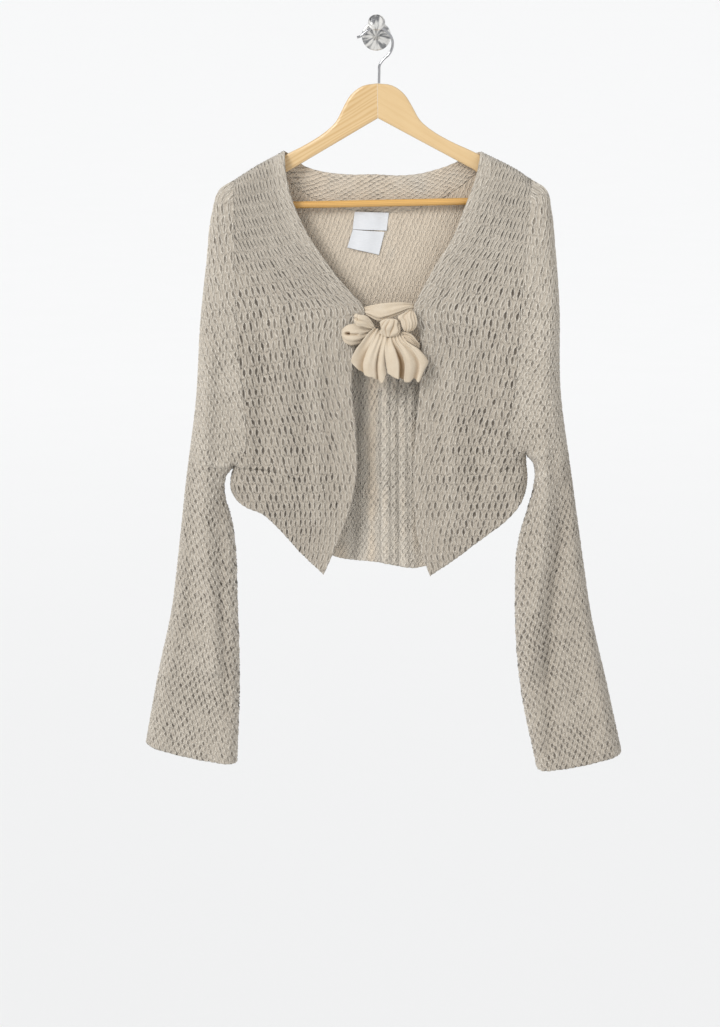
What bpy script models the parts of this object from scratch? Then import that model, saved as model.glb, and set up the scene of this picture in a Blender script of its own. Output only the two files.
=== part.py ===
"""Openwork cardigan with a ribbon bow, on a wooden hanger and a round wall hook.

Metres, +Z up. The origin is the middle of the hook plate's back face on the wall, the viewer looks
along +Y, and the wearer's right side lies at -X. Tables give sizes in centimetres. "Drop" is how
far a point lies below the line TOP_LINE, and "out" is how far it lies in front of the cloth's
middle plane.
"""

import bmesh
import bpy
import numpy as np

CM = 0.01
TOP_LINE = 0.004  # height from which every drop is measured
MID_Y = -0.025  # middle plane of the hanger and of the cloth that hangs on it
WALL = 0.003  # thickness of the knit
SEAM_GAP = 0.0003
CORNER_WALL = 0.3  # share of the wall left where three or more seams meet
CORNER_REACH = 0.020
UNDERARM_GAP = 0.0005  # extra room between body and sleeve at the underarm's point
UNDERARM_REACH = 0.030
BAND_WIDTH = 0.018
RIBBON_WALL = 0.001
LABEL_WALL = 0.001

# Outlines of the wearer's right side. Columns: drop, x
SHOULDER_RIGHT = [(14.8, -11.7), (17.1, -15.9), (18.6, -18.2)]
SLEEVE_OUTER_RIGHT = [
    (18.6, -18.2), (19.8, -20.0), (22.9, -21.0), (28.7, -21.7), (36.9, -22.6), (46.4, -23.2),
    (57.2, -24.6), (66.0, -25.6), (74.6, -26.7), (82.4, -28.4), (92.4, -30.3),
]
ARMHOLE_RIGHT = [
    (18.6, -18.2), (28.0, -18.1), (36.4, -17.9), (45.6, -17.2), (50.0, -16.8), (53.2, -16.9), (55.5, -18.4),
]
SIDE_RIGHT = [(55.5, -18.4), (56.9, -18.8), (58.6, -18.8), (59.9, -18.2)]
SLEEVE_INNER_RIGHT = [
    (55.5, -18.4), (57.0, -19.5), (59.5, -19.6), (62.0, -18.9), (65.2, -18.4), (73.2, -18.1),
    (84.0, -17.9), (95.1, -18.3),
]
FRONT_EDGE_RIGHT = [
    (14.8, -11.7), (18.2, -11.4), (21.5, -10.5), (24.8, -9.0), (29.4, -6.0), (32.6, -3.4), (34.9, -1.5),
    (38.5, -2.5), (44.8, -3.1), (50.7, -2.6), (56.0, -2.5), (59.9, -3.1), (63.9, -4.4), (69.6, -6.8),
]
HEM_RIGHT = [(69.6, -6.8), (66.6, -9.9), (63.9, -12.3), (61.6, -14.8), (60.7, -16.9), (59.9, -18.2)]

# Outlines of the wearer's left side. Columns: drop, x
SHOULDER_LEFT = [(14.9, 13.3), (17.4, 18.2), (18.5, 19.8)]
SLEEVE_OUTER_LEFT = [
    (18.5, 19.8), (19.8, 21.7), (22.6, 22.4), (27.0, 22.9), (34.2, 23.5), (45.7, 23.8), (56.4, 25.3),
    (66.0, 26.7), (76.0, 28.3), (84.0, 30.2), (93.7, 32.4),
]
ARMHOLE_LEFT = [
    (18.5, 19.8), (28.0, 19.0), (40.4, 18.2), (46.9, 17.7), (50.0, 17.2), (52.3, 17.3), (54.0, 19.4),
]
SIDE_LEFT = [(54.0, 19.4), (55.5, 19.5), (57.6, 19.6), (59.3, 19.3)]
SLEEVE_INNER_LEFT = [
    (54.0, 19.4), (55.2, 20.4), (58.0, 20.5), (61.5, 19.6), (65.2, 18.6), (73.2, 18.2),
    (84.0, 18.9), (96.0, 21.3),
]
FRONT_EDGE_LEFT = [
    (14.9, 13.3), (18.2, 12.6), (21.5, 11.4), (26.2, 9.5), (29.4, 7.5), (32.6, 5.8), (34.7, 4.8),
    (38.5, 5.6), (44.8, 5.6), (49.4, 5.2), (57.2, 4.8), (61.2, 5.0), (65.2, 5.5), (69.8, 7.0),
]
HEM_LEFT = [(69.8, 7.0), (67.4, 10.5), (65.0, 13.6), (62.9, 16.4), (61.3, 18.0), (59.3, 19.3)]

# Back. Columns: drop, x
BACK_NECK_EDGE = [
    (14.8, -11.7), (16.9, -9.0), (17.8, -4.9), (17.9, 0.0), (18.0, 4.0), (17.3, 7.6), (14.9, 13.3),
]
BACK_HEM = [
    (59.9, -18.2), (62.6, -14.0), (66.0, -9.0), (68.0, -4.2), (68.4, 0.0), (69.2, 5.0), (66.8, 11.5),
    (62.8, 16.0), (59.3, 19.3),
]
NECK_BAND_MIDDLE = 0.049  # height of the neck band at the middle of the back
NECK_SEAM_ROUNDING = 0.8  # below 1, the neck band widens sooner from its ends

# How far the cloth's outer face stands from the middle plane, in metres
BODY_FRONT_DEPTH = 0.018
BODY_BACK_DEPTH = 0.0125
SLEEVE_FRONT_DEPTH = 0.020
SLEEVE_BACK_DEPTH = 0.015
SHOULDER_ROUNDING = 0.012  # width over which the cloth turns round a shoulder
EDGE_ROUNDING = 0.016  # the same at the sleeve's folds and the body's sides
BODY_TO_SLEEVE = (0.160, 0.205)  # distances from the middle between which the depth changes
CUFF_BOW = 0.004  # how far the middle of each cuff edge hangs below its ends

# Large folds. Columns: side of the cloth, height, half width, path of (x, drop)
FOLDS = [
    ("front", 0.70, 1.1, [(-21.6, 41.0), (-22.1, 57.3), (-22.0, 65.3), (-21.4, 73.2), (-20.9, 82.0)]),
    ("front", -0.40, 0.9, [(-23.6, 55.0), (-24.2, 66.0), (-24.0, 76.0)]),
    ("front", 0.60, 1.1, [(21.3, 38.0), (21.8, 50.7), (21.7, 62.5), (20.8, 71.9), (20.3, 82.0)]),
    ("front", -0.45, 0.9, [(24.0, 58.0), (24.0, 66.0), (23.2, 75.8), (22.6, 83.8)]),
    ("front", -0.60, 1.2, [(-14.7, 36.0), (-14.6, 46.0), (-14.9, 55.0)]),
    ("front", 0.35, 1.3, [(-11.6, 40.0), (-11.2, 56.0)]),
    ("front", 0.40, 1.2, [(16.6, 44.0), (16.2, 58.0)]),
    ("front", -0.35, 1.1, [(13.4, 42.0), (13.0, 57.0)]),
    ("front", 0.35, 1.2, [(-27.0, 78.0), (-28.0, 92.0)]),
    ("front", 0.35, 1.2, [(28.6, 80.0), (30.0, 93.0)]),
    ("back", -0.40, 0.9, [(1.4, 42.0), (1.5, 69.0)]),
    ("back", -0.40, 0.8, [(4.3, 42.0), (4.4, 69.0)]),
    ("back", 0.40, 1.6, [(-9.0, 34.0), (-9.5, 66.0)]),
    ("back", 0.40, 1.6, [(11.0, 34.0), (11.5, 66.0)]),
    ("back", 0.35, 1.5, [(-22.5, 50.0), (-24.0, 90.0)]),
    ("back", 0.35, 1.5, [(23.0, 50.0), (25.5, 90.0)]),
]

# Grid sizes
SHOULDER_TURN_SHARES = [0.0, 0.004, 0.013, 0.032]  # fractions of the armhole's length
UNDERARM_TURN_SHARES = [0.95, 0.975, 0.99, 1.0]
ARMHOLE_ROWS = 13  # rows between the turns
SIDE_ROWS = 4
SIDE_START = 0.82  # share of a front edge above the row that starts at the underarm
SLEEVE_LOW_ROWS = 12
SLEEVE_HALF_COLUMNS = 9
SLEEVE_LOW_SPREAD = 1.2  # above 1, the sleeve's rows lie closer together below the underarm
SLEEVE_CAP_SPREAD = 0.8  # below 1, the rows at the outer fold run ahead of those at the armhole
SLEEVE_CAP_STRETCH = 1.03  # length of the outer fold beside the armhole, as a share of the armhole's
FRONT_COLUMNS = 8
SHOULDER_SPREAD = 2.2  # above 1, the columns lie closer together towards the armhole
BAND_COLUMNS = 2
NECK_SHARES = [0.0, 0.01, 0.03, 0.07, 0.15, 0.3, 0.5, 0.7, 0.85, 0.93, 0.97, 0.99, 1.0]

# Hanger, measured along each arm from its middle. Columns: distance from the middle, drop
ARM_TOP = [
    (0.0, 6.3), (1.9, 6.6), (3.4, 7.7), (4.4, 9.3), (5.4, 11.1), (6.6, 12.2), (9.0, 13.7), (12.0, 15.14),
    (18.4, 18.60), (19.0, 19.4),
]
ARM_BOTTOM = [(19.0, 22.6), (18.4, 23.0), (17.2, 22.9), (16.7, 20.8), (12.0, 17.4), (0.0, 10.7)]
ARM_THICKNESS = 0.012
ARM_ROUNDING = 0.0028
JOINT_REACH = 0.004  # how far from the middle the joint's own edges may lie
JOINT_EDGE_RUN = 0.003  # an edge that runs farther sideways than this belongs to the rim
EDGE_TOLERANCE = 1e-6
HANGER_TILT = 1.2  # degrees, the wearer's left arm higher
HANGER_PIVOT_DROP = 1.4
BAR_RADIUS = 0.0045
BAR_SIDES = 14
BAR_DROP = 21.5
BAR_HALF_LENGTH = 0.1673
WIRE_RADIUS = 0.00165
WIRE_POINTS = 32
WIRE_SIDES = 8
# Wire hook. Columns: x, drop
WIRE_ROUTE = [
    (0.33, 6.27), (0.36, 5.0), (0.42, 4.0), (0.75, 3.45), (1.73, 2.45), (2.06, 1.5), (1.93, 0.6),
    (1.50, -0.05), (0.85, -0.52), (0.0, -0.68), (-0.85, -0.50), (-1.55, 0.0), (-2.1, 0.42), (-2.45, 0.52),
]

PLATE_RADIUS = 0.0185
PLATE_THICKNESS = 0.006
PLATE_BEVEL = 0.0015
PLATE_SIDES = 36
PEG_SIDES = 16
# Peg with its round end, from the plate outwards. Columns: distance from the wall, drop, radius
PEG_STATIONS = [
    (0.63, 0.40, 0.48), (0.95, 0.40, 0.48), (1.60, 0.25, 0.47), (2.50, 0.02, 0.46), (3.40, -0.25, 0.46),
    (4.30, -0.65, 0.46), (5.00, -1.05, 0.48), (5.25, -1.20, 0.60), (5.32, -1.24, 1.00), (5.45, -1.32, 1.06),
    (5.70, -1.47, 1.06), (5.80, -1.52, 0.98),
]

# Ribbon pieces, as sections along each piece: the middle of a section and half its width.
# Columns: x, drop, out, half width in x, in drop, in out
RIBBONS = {
    "ribbon_strap": [
        (-1.46, 35.0, 1.65, 0.05, 0.50, 0.00), (-0.8, 35.2, 2.00, 0.10, 0.75, 0.05),
        (0.6, 35.4, 2.30, 0.05, 1.00, 0.10), (1.9, 35.3, 2.35, 0.00, 1.00, 0.15),
        (3.2, 34.9, 2.15, -0.05, 0.75, 0.05), (4.84, 34.6, 1.65, -0.05, 0.45, 0.00),
    ],
    "ribbon_loop_right": [
        (0.3, 37.7, 2.75, 0.10, 0.35, 0.25), (-1.2, 37.4, 2.95, 0.25, 0.60, 0.65),
        (-2.8, 37.3, 3.10, 0.20, 0.55, 0.80), (-4.0, 37.7, 3.10, -0.25, 0.25, 0.90),
        (-4.5, 38.4, 3.05, -0.30, 0.00, 0.90), (-4.0, 39.2, 3.00, -0.20, -0.15, 0.85),
        (-2.6, 39.3, 2.90, 0.10, 0.30, 0.75), (-1.0, 38.9, 2.80, 0.20, 0.45, 0.50),
        (0.2, 38.45, 2.70, 0.10, 0.30, 0.25),
    ],
    "ribbon_curl_right": [
        (0.5, 37.00, 2.80, -0.25, 0.10, 0.25), (-0.3, 36.65, 3.00, -0.30, 0.20, 0.45),
        (-1.2, 36.20, 3.15, -0.15, 0.25, 0.55), (-2.0, 35.85, 3.20, 0.05, 0.20, 0.55),
        (-2.6, 36.00, 3.10, 0.25, 0.05, 0.50), (-2.7, 36.45, 3.00, 0.25, -0.05, 0.45),
    ],
    "ribbon_lobe_left": [
        (3.1, 37.1, 2.80, 0.20, 0.35, 0.15), (3.9, 36.5, 3.00, 0.55, 0.60, 0.20),
        (4.4, 35.9, 3.05, 0.80, 0.70, 0.15), (4.9, 35.4, 2.95, 0.70, 0.45, 0.05),
        (5.2, 35.0, 2.80, 0.35, 0.20, 0.00),
    ],
    "ribbon_loop_left": [
        (3.1, 37.9, 2.70, -0.15, 0.30, 0.10), (3.9, 38.2, 2.75, -0.25, 0.60, 0.10),
        (4.7, 38.6, 2.75, -0.35, 0.70, 0.10), (5.4, 39.0, 2.70, -0.30, 0.60, 0.10),
        (5.9, 39.3, 2.60, -0.25, 0.45, 0.05),
    ],
    "ribbon_tail_right": [
        (0.9, 38.75, 2.60, 0.55, -0.20, 0.05), (0.2, 40.0, 2.70, 1.25, -0.45, 0.05),
        (-0.4, 41.4, 2.75, 1.75, -0.35, 0.05), (-0.4, 42.8, 2.65, 1.75, 0.00, 0.05),
        (-0.2, 44.0, 2.50, 1.60, 0.45, 0.00),
    ],
    "ribbon_tail_left": [
        (2.7, 38.9, 2.65, 0.45, 0.10, 0.05), (3.3, 40.2, 2.95, 1.35, 0.15, 0.05),
        (3.9, 41.6, 3.05, 2.00, -0.05, 0.05), (4.1, 43.0, 2.95, 2.50, -0.45, 0.05),
        (4.2, 44.0, 2.80, 2.65, -1.05, 0.00),
    ],
}
RIBBON_PLEATS = {"ribbon_strap": 3, "ribbon_loop_left": 3, "ribbon_tail_right": 2, "ribbon_tail_left": 2}
RIBBON_PLEAT_SHARE = 0.08  # height of a pleat as a share of half the ribbon's width
RIBBON_COLUMNS = 8
RIBBON_STEPS = 2  # grid rows for each stretch between two sections
KNOT_MIDDLE = (1.85, 37.35, 2.75)  # x, drop, out
KNOT_HALF_SIZES = (1.25, 1.10, 0.55)  # along x, drop and out
KNOT_RINGS = 10
KNOT_SIDES = 20

# Labels. Columns: x and drop of the upper left corner and the lower right corner, turn in degrees
LABELS = {
    "neck_label": ((-2.8, 22.7), (1.6, 25.0), -2.0),
    "care_label": ((-3.1, 25.1), (1.0, 27.4), -4.0),
}
LABEL_OUT = -0.0075  # behind the middle plane, in front of the back panel
LABEL_WAVE = 0.0008  # height of the wave across a label
LABEL_WAVES = 1.2  # waves across a label's width

KNIT_COLOUR = (0.52, 0.46, 0.39)
BAND_COLOUR = (0.58, 0.52, 0.45)
RIBBON_COLOUR = (0.73, 0.62, 0.47)
LABEL_COLOUR = (0.82, 0.83, 0.86)
ARM_COLOUR = (0.84, 0.60, 0.32)
BAR_COLOUR = (0.66, 0.41, 0.14)
CHROME_COLOUR = (0.75, 0.75, 0.76)
STEEL_COLOUR = (0.55, 0.56, 0.58)


def clear_scene():
    for thing in list(bpy.data.objects):
        bpy.data.objects.remove(thing, do_unlink=True)


def make_material(name, colour, roughness, metallic=0.0):
    material = bpy.data.materials.new(name)
    material.use_nodes = True
    shader = material.node_tree.nodes["Principled BSDF"]
    shader.inputs["Base Color"].default_value = (*colour, 1.0)
    shader.inputs["Roughness"].default_value = roughness
    shader.inputs["Metallic"].default_value = metallic
    material.diffuse_color = (*colour, 1.0)
    return material


def add_mesh(name, vertices, faces, material):
    mesh = bpy.data.meshes.new(name)
    mesh.from_pydata([tuple(point) for point in vertices], [], faces)
    mesh.validate()
    mesh.shade_smooth()
    mesh.set_sharp_from_angle(angle=np.radians(50.0))
    mesh.materials.append(material)
    thing = bpy.data.objects.new(name, mesh)
    bpy.context.scene.collection.objects.link(thing)
    return thing


def unit(vectors):
    lengths = np.linalg.norm(vectors, axis=-1, keepdims=True)
    return vectors / np.maximum(lengths, 1e-12)


# Curves


def dense_curve(table, steps=24):
    """A smooth curve through a table's points: cubic pieces with the chord as tangent."""
    points = np.array(table, dtype=float)
    before = np.vstack([2 * points[0] - points[1], points[:-1]])
    after = np.vstack([points[1:], 2 * points[-1] - points[-2]])
    gap_before = np.linalg.norm(points - before, axis=1, keepdims=True)
    gap_after = np.linalg.norm(after - points, axis=1, keepdims=True)
    tangents = ((points - before) / gap_before * gap_after + (after - points) / gap_after * gap_before)
    tangents /= gap_before + gap_after
    t = np.linspace(0.0, 1.0, steps, endpoint=False)[:, None]
    rows = []
    for index in range(len(points) - 1):
        length = np.linalg.norm(points[index + 1] - points[index])
        rows.append(
            (2 * t**3 - 3 * t**2 + 1) * points[index]
            + (t**3 - 2 * t**2 + t) * tangents[index] * length
            + (3 * t**2 - 2 * t**3) * points[index + 1]
            + (t**3 - t**2) * tangents[index + 1] * length
        )
    rows.append(points[-1:])
    return np.vstack(rows)


def outline(table):
    """A table's curve in the plane, as metres (x, z)."""
    curve = dense_curve(table)
    return np.stack([curve[:, 1] * CM, TOP_LINE - curve[:, 0] * CM], axis=1)


def along(curve, fractions):
    """Points at the given fractions of a curve's length."""
    steps = np.linalg.norm(np.diff(curve, axis=0), axis=1)
    lengths = np.concatenate([[0.0], np.cumsum(steps)])
    wanted = np.asarray(fractions) * lengths[-1]
    return np.stack([np.interp(wanted, lengths, curve[:, axis]) for axis in range(curve.shape[1])], axis=1)


def curve_length(curve):
    return np.linalg.norm(np.diff(curve, axis=0), axis=1).sum()


def distance_to(points, curve):
    """Least distance from each point (x, z) to a polyline."""
    flat = points.reshape(-1, 1, 2)
    start = curve[None, :-1]
    step = curve[None, 1:] - start
    share = ((flat - start) * step).sum(-1) / np.maximum((step**2).sum(-1), 1e-12)
    nearest = start + np.clip(share, 0.0, 1.0)[..., None] * step
    return np.linalg.norm(flat - nearest, axis=-1).min(axis=1).reshape(points.shape[:-1])


# Form of the hanging cloth


def cloth_outlines():
    """Every edge curve of both halves, by side and name."""
    names = ("SHOULDER", "SLEEVE_OUTER", "ARMHOLE", "SIDE", "SLEEVE_INNER", "FRONT_EDGE", "HEM")
    right_tables = (
        SHOULDER_RIGHT, SLEEVE_OUTER_RIGHT, ARMHOLE_RIGHT, SIDE_RIGHT, SLEEVE_INNER_RIGHT,
        FRONT_EDGE_RIGHT, HEM_RIGHT,
    )
    left_tables = (
        SHOULDER_LEFT, SLEEVE_OUTER_LEFT, ARMHOLE_LEFT, SIDE_LEFT, SLEEVE_INNER_LEFT,
        FRONT_EDGE_LEFT, HEM_LEFT,
    )
    sides = {}
    for side, tables in (("right", right_tables), ("left", left_tables)):
        sides[side] = {name: outline(table) for name, table in zip(names, tables)}
    return sides


def rounding(distance, width):
    """Rises from 0 on a fold to 1 at the given width, as a quarter of an ellipse does."""
    share = np.clip(distance / width, 0.0, 1.0)
    return np.sqrt(1.0 - (1.0 - share) ** 2)


def cloth_height(points, face, sides):
    """How far the outer face stands from the middle plane at points (x, z)."""
    start, end = BODY_TO_SLEEVE
    blend = np.clip((np.abs(points[..., 0]) - start) / (end - start), 0, 1)
    blend = blend * blend * (3 - 2 * blend)
    if face == "front":
        body, sleeve = BODY_FRONT_DEPTH, SLEEVE_FRONT_DEPTH
    else:
        body, sleeve = BODY_BACK_DEPTH, SLEEVE_BACK_DEPTH
    height = body + (sleeve - body) * blend
    for fold_face, rise, half_width, path in FOLDS:
        if fold_face == face:
            route = np.array([(x * CM, TOP_LINE - drop * CM) for x, drop in path])
            height = height + rise * CM * np.exp(-((distance_to(points, route) / (half_width * CM)) ** 2))
    for side in sides.values():
        height = height * rounding(distance_to(points, side["SHOULDER"]), SHOULDER_ROUNDING)
        height = height * rounding(distance_to(points, side["SLEEVE_OUTER"]), EDGE_ROUNDING)
        notch = np.minimum(distance_to(points, side["SIDE"]), distance_to(points, side["SLEEVE_INNER"]))
        height = height * rounding(notch, EDGE_ROUNDING)
    return height


def lift(points, face, sides):
    """Points (x, z) of the plane moved onto the cloth's outer face."""
    height = cloth_height(points, face, sides)
    y = MID_Y - height if face == "front" else MID_Y + height
    return np.stack([points[..., 0], y, points[..., 1]], axis=-1)


def fill_patch(top, bottom, start, end, row_shares):
    """A grid between four edge curves: rows run from top to bottom, columns from start to end."""
    v = row_shares[:, None, None]
    widths = np.linalg.norm(np.diff(top, axis=0), axis=1)
    u = np.concatenate([[0.0], np.cumsum(widths)])
    u = (u / u[-1])[None, :, None]
    corners = (
        (1 - u) * (1 - v) * top[0] + u * (1 - v) * top[-1] + (1 - u) * v * bottom[0] + u * v * bottom[-1]
    )
    return (1 - v) * top[None] + v * bottom[None] + (1 - u) * start[:, None] + u * end[:, None] - corners


def armhole_shares():
    """Fractions of an armhole's length at which its rows start, closer together at both turns."""
    even = np.linspace(SHOULDER_TURN_SHARES[-1], UNDERARM_TURN_SHARES[0], ARMHOLE_ROWS + 1)[1:-1]
    return np.concatenate([SHOULDER_TURN_SHARES, even, UNDERARM_TURN_SHARES])


def body_row_shares():
    """Fractions of a front edge's length at which the body's rows start."""
    upper = armhole_shares() * SIDE_START
    lower = np.linspace(upper[-1], 1.0, SIDE_ROWS + 1)[1:]
    return np.concatenate([upper, lower])


def body_side_edge(side):
    """Armhole edge and side seam, from the shoulder to the hem."""
    upper = along(side["ARMHOLE"], armhole_shares())
    lower = along(side["SIDE"], np.linspace(0, 1, SIDE_ROWS + 1)[1:])
    return np.vstack([upper, lower])


def shoulder_shares():
    """Fractions along the shoulder seam, closer together towards the armhole."""
    return 1 - (1 - np.linspace(0, 1, FRONT_COLUMNS + 1)) ** SHOULDER_SPREAD


def shoulder_points(side):
    """Points of the shoulder seam, from the band's outer edge to the armhole."""
    start = BAND_WIDTH / curve_length(side["SHOULDER"])
    return along(side["SHOULDER"], start + (1 - start) * shoulder_shares())


def band_end(side):
    """Points of the shoulder seam at the bands' ends, from the neck point outwards."""
    share = BAND_WIDTH / curve_length(side["SHOULDER"])
    return along(side["SHOULDER"], np.linspace(0, share, BAND_COLUMNS + 1))


def front_grids(side):
    """Grid of a front's band and grid of the rest, which share the band's seam."""
    rows = body_row_shares()
    edge = along(side["FRONT_EDGE"], rows)
    outer = body_side_edge(side)
    fine = np.linspace(0, 1, 60)
    region = fill_patch(along(side["SHOULDER"], fine), along(side["HEM"], fine), edge, outer, rows)
    band_rows, front_rows = [], []
    for row in region:
        share = BAND_WIDTH / curve_length(row)
        band_rows.append(along(row, np.linspace(0, share, BAND_COLUMNS + 1)))
        front_rows.append(along(row, share + (1 - share) * shoulder_shares()))
    band_rows[0], front_rows[0] = band_end(side), shoulder_points(side)
    return np.array(band_rows), np.array(front_rows)


def neck_grid(sides):
    """Grid of the neck band: rows from its free edge to its seam with the back."""
    share = np.array(NECK_SHARES)
    edge = along(outline(BACK_NECK_EDGE), share)
    right, left = band_end(sides["right"]), band_end(sides["left"])
    seam = edge + (1 - share)[:, None] * (right[-1] - edge[0]) + share[:, None] * (left[-1] - edge[-1])
    seam[:, 1] -= (NECK_BAND_MIDDLE - BAND_WIDTH / 2) * np.sin(np.pi * share) ** NECK_SEAM_ROUNDING
    steps = np.linspace(0, 1, BAND_COLUMNS + 1)[:, None, None]
    grid = (1 - steps) * edge[None] + steps * seam[None]
    grid[:, 0], grid[:, -1] = right, left
    return grid


def back_grids(sides):
    """Grid of the back and grid of the neck band above it."""
    neck = neck_grid(sides)
    right, left = shoulder_points(sides["right"])[::-1], shoulder_points(sides["left"])
    top = np.vstack([right[:-1], neck[-1], left[1:]])
    hem = outline(BACK_HEM)
    share = (top[:, 0] - top[0, 0]) / (top[-1, 0] - top[0, 0])
    right_edge, left_edge = body_side_edge(sides["right"]), body_side_edge(sides["left"])
    return fill_patch(top, along(hem, share), right_edge, left_edge, body_row_shares()), neck


def sleeve_grid(side):
    """Half of a sleeve laid flat: rows from the shoulder to the cuff, columns from seam to outer fold."""
    armhole = along(side["ARMHOLE"], armhole_shares()[1:])
    low_shares = (np.arange(1, SLEEVE_LOW_ROWS + 1) / SLEEVE_LOW_ROWS) ** SLEEVE_LOW_SPREAD
    inner = np.vstack([armhole, along(side["SLEEVE_INNER"], low_shares)])
    cap_length = curve_length(side["ARMHOLE"]) * SLEEVE_CAP_STRETCH
    upper = armhole_shares()[1:] ** SLEEVE_CAP_SPREAD * cap_length / curve_length(side["SLEEVE_OUTER"])
    lower = upper[-1] + (1 - upper[-1]) * low_shares
    outer = along(side["SLEEVE_OUTER"], np.concatenate([upper, lower]))
    share = ((1 - np.cos(np.linspace(0, np.pi, SLEEVE_HALF_COLUMNS + 1))) / 2)[None, :, None]
    grid = (1 - share) * inner[:, None] + share * outer[:, None]
    depth = np.concatenate([np.zeros(len(upper)), low_shares])[:, None]
    grid[..., 1] -= CUFF_BOW * 4 * share[..., 0] * (1 - share[..., 0]) * depth
    return grid


def cloth_panels():
    """Outer faces of all cloth pieces, each a grid of points whose faces look outwards."""
    sides = cloth_outlines()
    panels = {}
    for name, side in sides.items():
        band, front = front_grids(side)
        half = sleeve_grid(side)
        front_half = lift(half, "front", sides)
        back_half = lift(half, "back", sides)
        panels["front_band_" + name] = lift(band, "front", sides)
        panels["front_" + name] = lift(front, "front", sides)
        panels["sleeve_" + name] = np.concatenate([front_half, back_half[:, -2::-1]], axis=1)
    back, neck = back_grids(sides)
    panels["back"] = lift(back, "back", sides)
    panels["neck_band"] = lift(neck, "back", sides)
    for name, grid in panels.items():
        outwards = 1.0 if name in ("back", "neck_band") else -1.0
        row = grid.shape[0] // 2
        column = 2 if name.startswith("sleeve") else grid.shape[1] // 2
        along_row = grid[row, column + 1] - grid[row, column]
        down = grid[row + 1, column] - grid[row, column]
        if np.cross(down, along_row)[1] * outwards < 0:
            panels[name] = grid[:, ::-1]
    return panels


def welded_normals(panels):
    """Outward directions at every grid point, shared by pieces that meet at a seam."""
    points, sums = [], []
    for grid in panels.values():
        diagonal_one = grid[1:, 1:] - grid[:-1, :-1]
        diagonal_two = grid[:-1, 1:] - grid[1:, :-1]
        face = np.cross(diagonal_one, diagonal_two)
        total = np.zeros_like(grid)
        total[:-1, :-1] += face
        total[1:, :-1] += face
        total[:-1, 1:] += face
        total[1:, 1:] += face
        points.append(grid.reshape(-1, 3))
        sums.append(total.reshape(-1, 3))
    keys = np.round(np.vstack(points) / 2e-6).astype(np.int64)
    _, groups = np.unique(keys, axis=0, return_inverse=True)
    groups = groups.reshape(-1)
    totals = np.zeros((groups.max() + 1, 3))
    np.add.at(totals, groups, np.vstack(sums))
    directions = unit(totals[groups])
    normals, start = {}, 0
    for name, grid in panels.items():
        count = grid.shape[0] * grid.shape[1]
        normals[name] = directions[start:start + count].reshape(grid.shape)
        start += count
    return normals


def open_seams(grid, normals):
    """Moves a grid's four edges inwards, along the cloth and across the seam, by half the seam gap."""
    moved = grid.copy()
    for axis in (0, 1):
        lines = np.moveaxis(grid, axis, 0)
        directions = np.moveaxis(normals, axis, 0)
        target = np.moveaxis(moved, axis, 0)
        for edge, beside in ((0, 1), (-1, -2)):
            inwards = np.cross(directions[edge], unit(np.gradient(lines[edge], axis=0)))
            sign = np.sign((inwards * (lines[beside] - lines[edge])).sum(-1, keepdims=True))
            target[edge] += SEAM_GAP / 2 * unit(inwards) * sign
    return moved


def part_at_underarm(name, grid, underarms):
    """Moves body points towards the middle and sleeve points away from it, near the underarms."""
    moved = grid.copy()
    away = 1.0 if name.startswith("sleeve") else -1.0
    for underarm in underarms:
        distance = np.linalg.norm(grid[..., [0, 2]] - underarm, axis=-1)
        share = np.clip(1 - distance / UNDERARM_REACH, 0.0, 1.0)
        moved[..., 0] += away * np.sign(underarm[0]) * UNDERARM_GAP * share
    return moved


def walled_grid(name, outer, inner, material):
    """A closed wall between two grids of the same size, whose outer face looks outwards."""
    rows, columns = outer.shape[:2]
    count = rows * columns
    index = np.arange(count).reshape(rows, columns)
    a, b, c, d = index[:-1, :-1], index[1:, :-1], index[1:, 1:], index[:-1, 1:]
    quads = np.stack([a, b, c, d], axis=-1).reshape(-1, 4)
    faces = [tuple(int(corner) for corner in quad) for quad in quads]
    faces += [tuple(int(corner) + count for corner in quad[::-1]) for quad in quads]
    border = np.concatenate([index[0, :-1], index[:-1, -1], index[-1, :0:-1], index[:0:-1, 0]])
    for here, there in zip(border, np.roll(border, -1)):
        faces.append((int(here), int(there), int(there) + count, int(here) + count))
    return add_mesh(name, np.vstack([outer.reshape(-1, 3), inner.reshape(-1, 3)]), faces, material)


def wall_at(grid, corners):
    """Wall thickness at grid points: thinner towards the corners where seams meet."""
    flat = grid[..., [0, 2]]
    nearest = np.min([np.linalg.norm(flat - corner, axis=-1) for corner in corners], axis=0)
    share = np.clip(nearest / CORNER_REACH, 0.0, 1.0)
    return WALL * (CORNER_WALL + (1 - CORNER_WALL) * share)


def keep_faces_apart(name, inner):
    """Keeps the inner face of the front and of the back on its own side of the middle plane."""
    apart = inner.copy()
    columns = inner.shape[1]
    front, back = MID_Y - SEAM_GAP / 2, MID_Y + SEAM_GAP / 2
    if name.startswith("sleeve"):
        fold = columns // 2
        first, last = apart[:, :fold], apart[:, fold + 1:]
        if inner[len(inner) // 2, 2, 1] > MID_Y:
            first, last = last, first
        first[..., 1] = np.minimum(first[..., 1], front)
        last[..., 1] = np.maximum(last[..., 1], back)
    elif name.startswith("front"):
        apart[..., 1] = np.minimum(apart[..., 1], front)
    else:
        apart[..., 1] = np.maximum(apart[..., 1], back)
    return apart


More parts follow.
